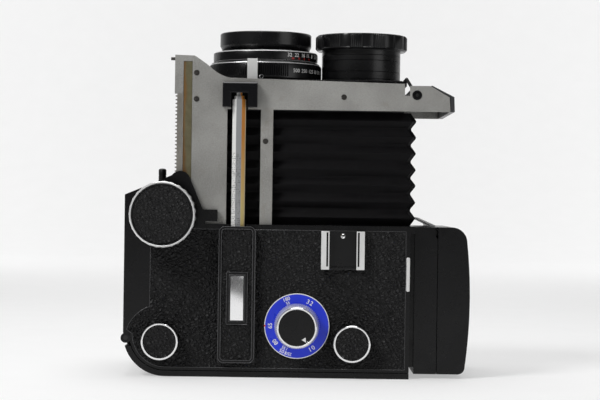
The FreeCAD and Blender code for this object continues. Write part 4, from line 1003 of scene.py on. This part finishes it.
def spring_coil(center):
    """Small coil spring at the foot of the cocking lever."""
    turns, steps, corners, wire, coil = 3.5, 20, 6, 0.16, 0.95
    points = []
    total = int(turns * steps)
    for index in range(total + 1):
        angle = TAU * index / steps
        out = Vector((math.cos(angle), 0, math.sin(angle)))
        wire_middle = center + out * coil + Vector((0, -0.9 + 1.5 * index / total, 0))
        for corner in range(corners):
            turn = TAU * corner / corners
            points.append(wire_middle + out * wire * math.cos(turn) + Vector((0, wire * math.sin(turn), 0)))
    faces = strips(total + 1, corners)
    faces += [tuple(range(corners - 1, -1, -1)), tuple(range(corners * total, corners * (total + 1)))]
    mesh = mesh_from("lever_spring", points, faces)
    add_object("lever_spring", mesh, ["bright_chrome"], BODY_OF["cocking_lever"], SLOT_OF["cocking_lever"])


def make_viewing_lens():
    """Grooved barrel with a segmented hood ring."""
    low, high, center, _ = round_node("viewing_barrel", "Z")
    place = on_axis("Z", center, 1)
    board = span("lens_board")[1].z
    top = high.z
    profile = [(LENS_THROAT, low.z), (16.9, low.z), (16.9, board), (20.4, board)]
    for groove in (board + 1.2, board + 2.2, board + 6.0, board + 11.8, board + 14.6):
        profile += [(20.5, groove - 0.15), (20.3, groove), (20.5, groove + 0.15)]
    profile += [(20.5, top - 0.2), (20.3, top), (19.4, top)]
    radius, height = 19.2, top - 0.3
    while radius > 16.2:
        profile += [(radius, height), (radius - 0.25, height - 0.7)]
        radius -= 0.6
        height -= 0.62
    profile += [(15.6, top - 4.0, 1), (15.6, top - 6.0), (LENS_THROAT, top - 6.2), (LENS_THROAT, low.z)]
    turned("viewing_barrel", "viewing_barrel", place, profile, ["lens_black", "black_anodised"])
    dress("viewing_elements")

    low, high, _, radius = round_node("viewing_hood_ring", "Z")
    profile = [
        (20.5, low.z), (radius - 0.9, low.z), (radius - 0.3, low.z + 0.6), (radius, low.z + 1.2, 0, 1.0),
        (radius, high.z - 1.0, 0, 1.0), (radius - 0.4, high.z - 0.3, 0, 0.7),
        (radius - 0.8, high.z, 0, 0.3), (21.0, high.z), (20.5, high.z - 0.4), (20.5, low.z)]
    turned("viewing_hood_ring", "viewing_ring", place, profile, ["lens_black"], 576, segmented)
    block("board_clip", (*CLIP_LOW, board + 0.02), (*CLIP_HIGH, board + 0.8), 0.2, "turned_silver",
          "front_standard", "steel")


def segmented(step, steps):
    """Twelve segments: plain flats a little sunk, between finely ridged lands."""
    share = (step * 12 / steps) % 1
    if share < 0.46:
        return 0.95 - 0.25 * math.sin(math.pi * share / 0.46)
    if share < 0.5 or share > 0.96:
        return 0.4
    return 0.0 if step % 4 < 2 else 0.3


# ---------------------------------------------------------------- hood

def make_hood():
    bevelled("hood_base", 0.4)
    bevelled("hood_lid", 1.0, segments=4)
    bevelled("lid_button", 0.15)
    for node in ("hood_left_leaf", "hood_right_leaf", "hood_rear_leaf", "magnifier_frame"):
        bevelled(node, 0.12)
    dress("magnifier_lens")


# ---------------------------------------------------------------- stage

def make_stage():
    """Pale floor that sweeps up behind, lamps over the object and two for the paper."""
    low, high = (Vector(corner) for corner in CAD_BOX)
    center = (low + high) / 2
    reach, flat, bend, steps = 4.0, 1.7, 0.8, 16
    rows = [(-reach, 0.0), (flat, 0.0)]
    for step in range(1, steps + 1):
        angle = math.pi / 2 * step / steps
        rows.append((flat + bend * math.sin(angle), bend * (1 - math.cos(angle))))
    rows.append((flat + bend, reach))
    points = [(side * reach, center.y + y, low.z + z) for y, z in rows for side in (-1, 1)]
    mesh = bpy.data.meshes.new("sweep")
    mesh.from_pydata(points, [], strips(len(rows), 2, False))
    smoothed(mesh)
    floor = bpy.data.objects.new("sweep", mesh)
    mesh.materials.append(paper())
    bpy.context.scene.collection.objects.link(floor)

    world = bpy.data.worlds.new("studio")
    world.use_nodes = True
    background = world.node_tree.nodes["Background"]
    background.inputs["Color"].default_value = (1, 1, 1, 1)
    background.inputs["Strength"].default_value = 0.09
    bpy.context.scene.world = world
    bpy.context.scene.view_settings.view_transform = "Standard"

    # place and target from the object's middle and width in metres, power in watts
    for name, offset, target, size, power in (
            ("key", (-0.75, -0.75, 0.95), (0, 0, 0), 0.5, 11.5),
            ("fill", (1.1, -0.9, 0.35), (0, 0, 0), 0.8, 2.0),
            ("top", (0.0, 0.15, 1.15), (0, 0, 0), 1.0, 8.0),
            ("paper_left", (-1.0, 1.3, 0.7), (-0.2, 2.9, 0.1), 0.7, 8.5),
            ("paper_right", (1.0, 1.3, 0.7), (0.2, 2.9, 0.1), 0.7, 8.5)):
        light = bpy.data.lights.new(name, "AREA")
        light.shape = "DISK"
        light.size = size
        light.energy = power
        lamp = bpy.data.objects.new(name, light)
        lamp.location = center + Vector(offset)
        lamp.rotation_euler = (Vector(target) - Vector(offset)).to_track_quat("-Z", "Y").to_euler()
        bpy.context.scene.collection.objects.link(lamp)


def make_camera():
    """Long lens looking at the left side, level and a little tilted sideways."""
    low, high = (Vector(corner) for corner in CAD_BOX)
    center = (low + high) / 2
    lens = bpy.data.cameras.new("view")
    lens.lens = VIEW_LENS
    lens.sensor_width = VIEW_SENSOR
    camera = bpy.data.objects.new("view", lens)
    camera.location = (center.x, low.y - VIEW_DISTANCE, center.z + VIEW_LIFT)
    camera.rotation_euler = (math.radians(90), math.radians(VIEW_TILT), 0)
    bpy.context.scene.collection.objects.link(camera)
    bpy.context.scene.camera = camera


make_body()
make_scale_window()
make_spool_knob("supply_spool_knob")
make_spool_knob("takeup_spool_knob")
make_advance_knob()
make_focus_knobs()
make_lock_dial()
make_release()
make_standard()
make_bellows()
make_taking_lens()
make_viewing_lens()
make_hood()
make_stage()
make_camera()
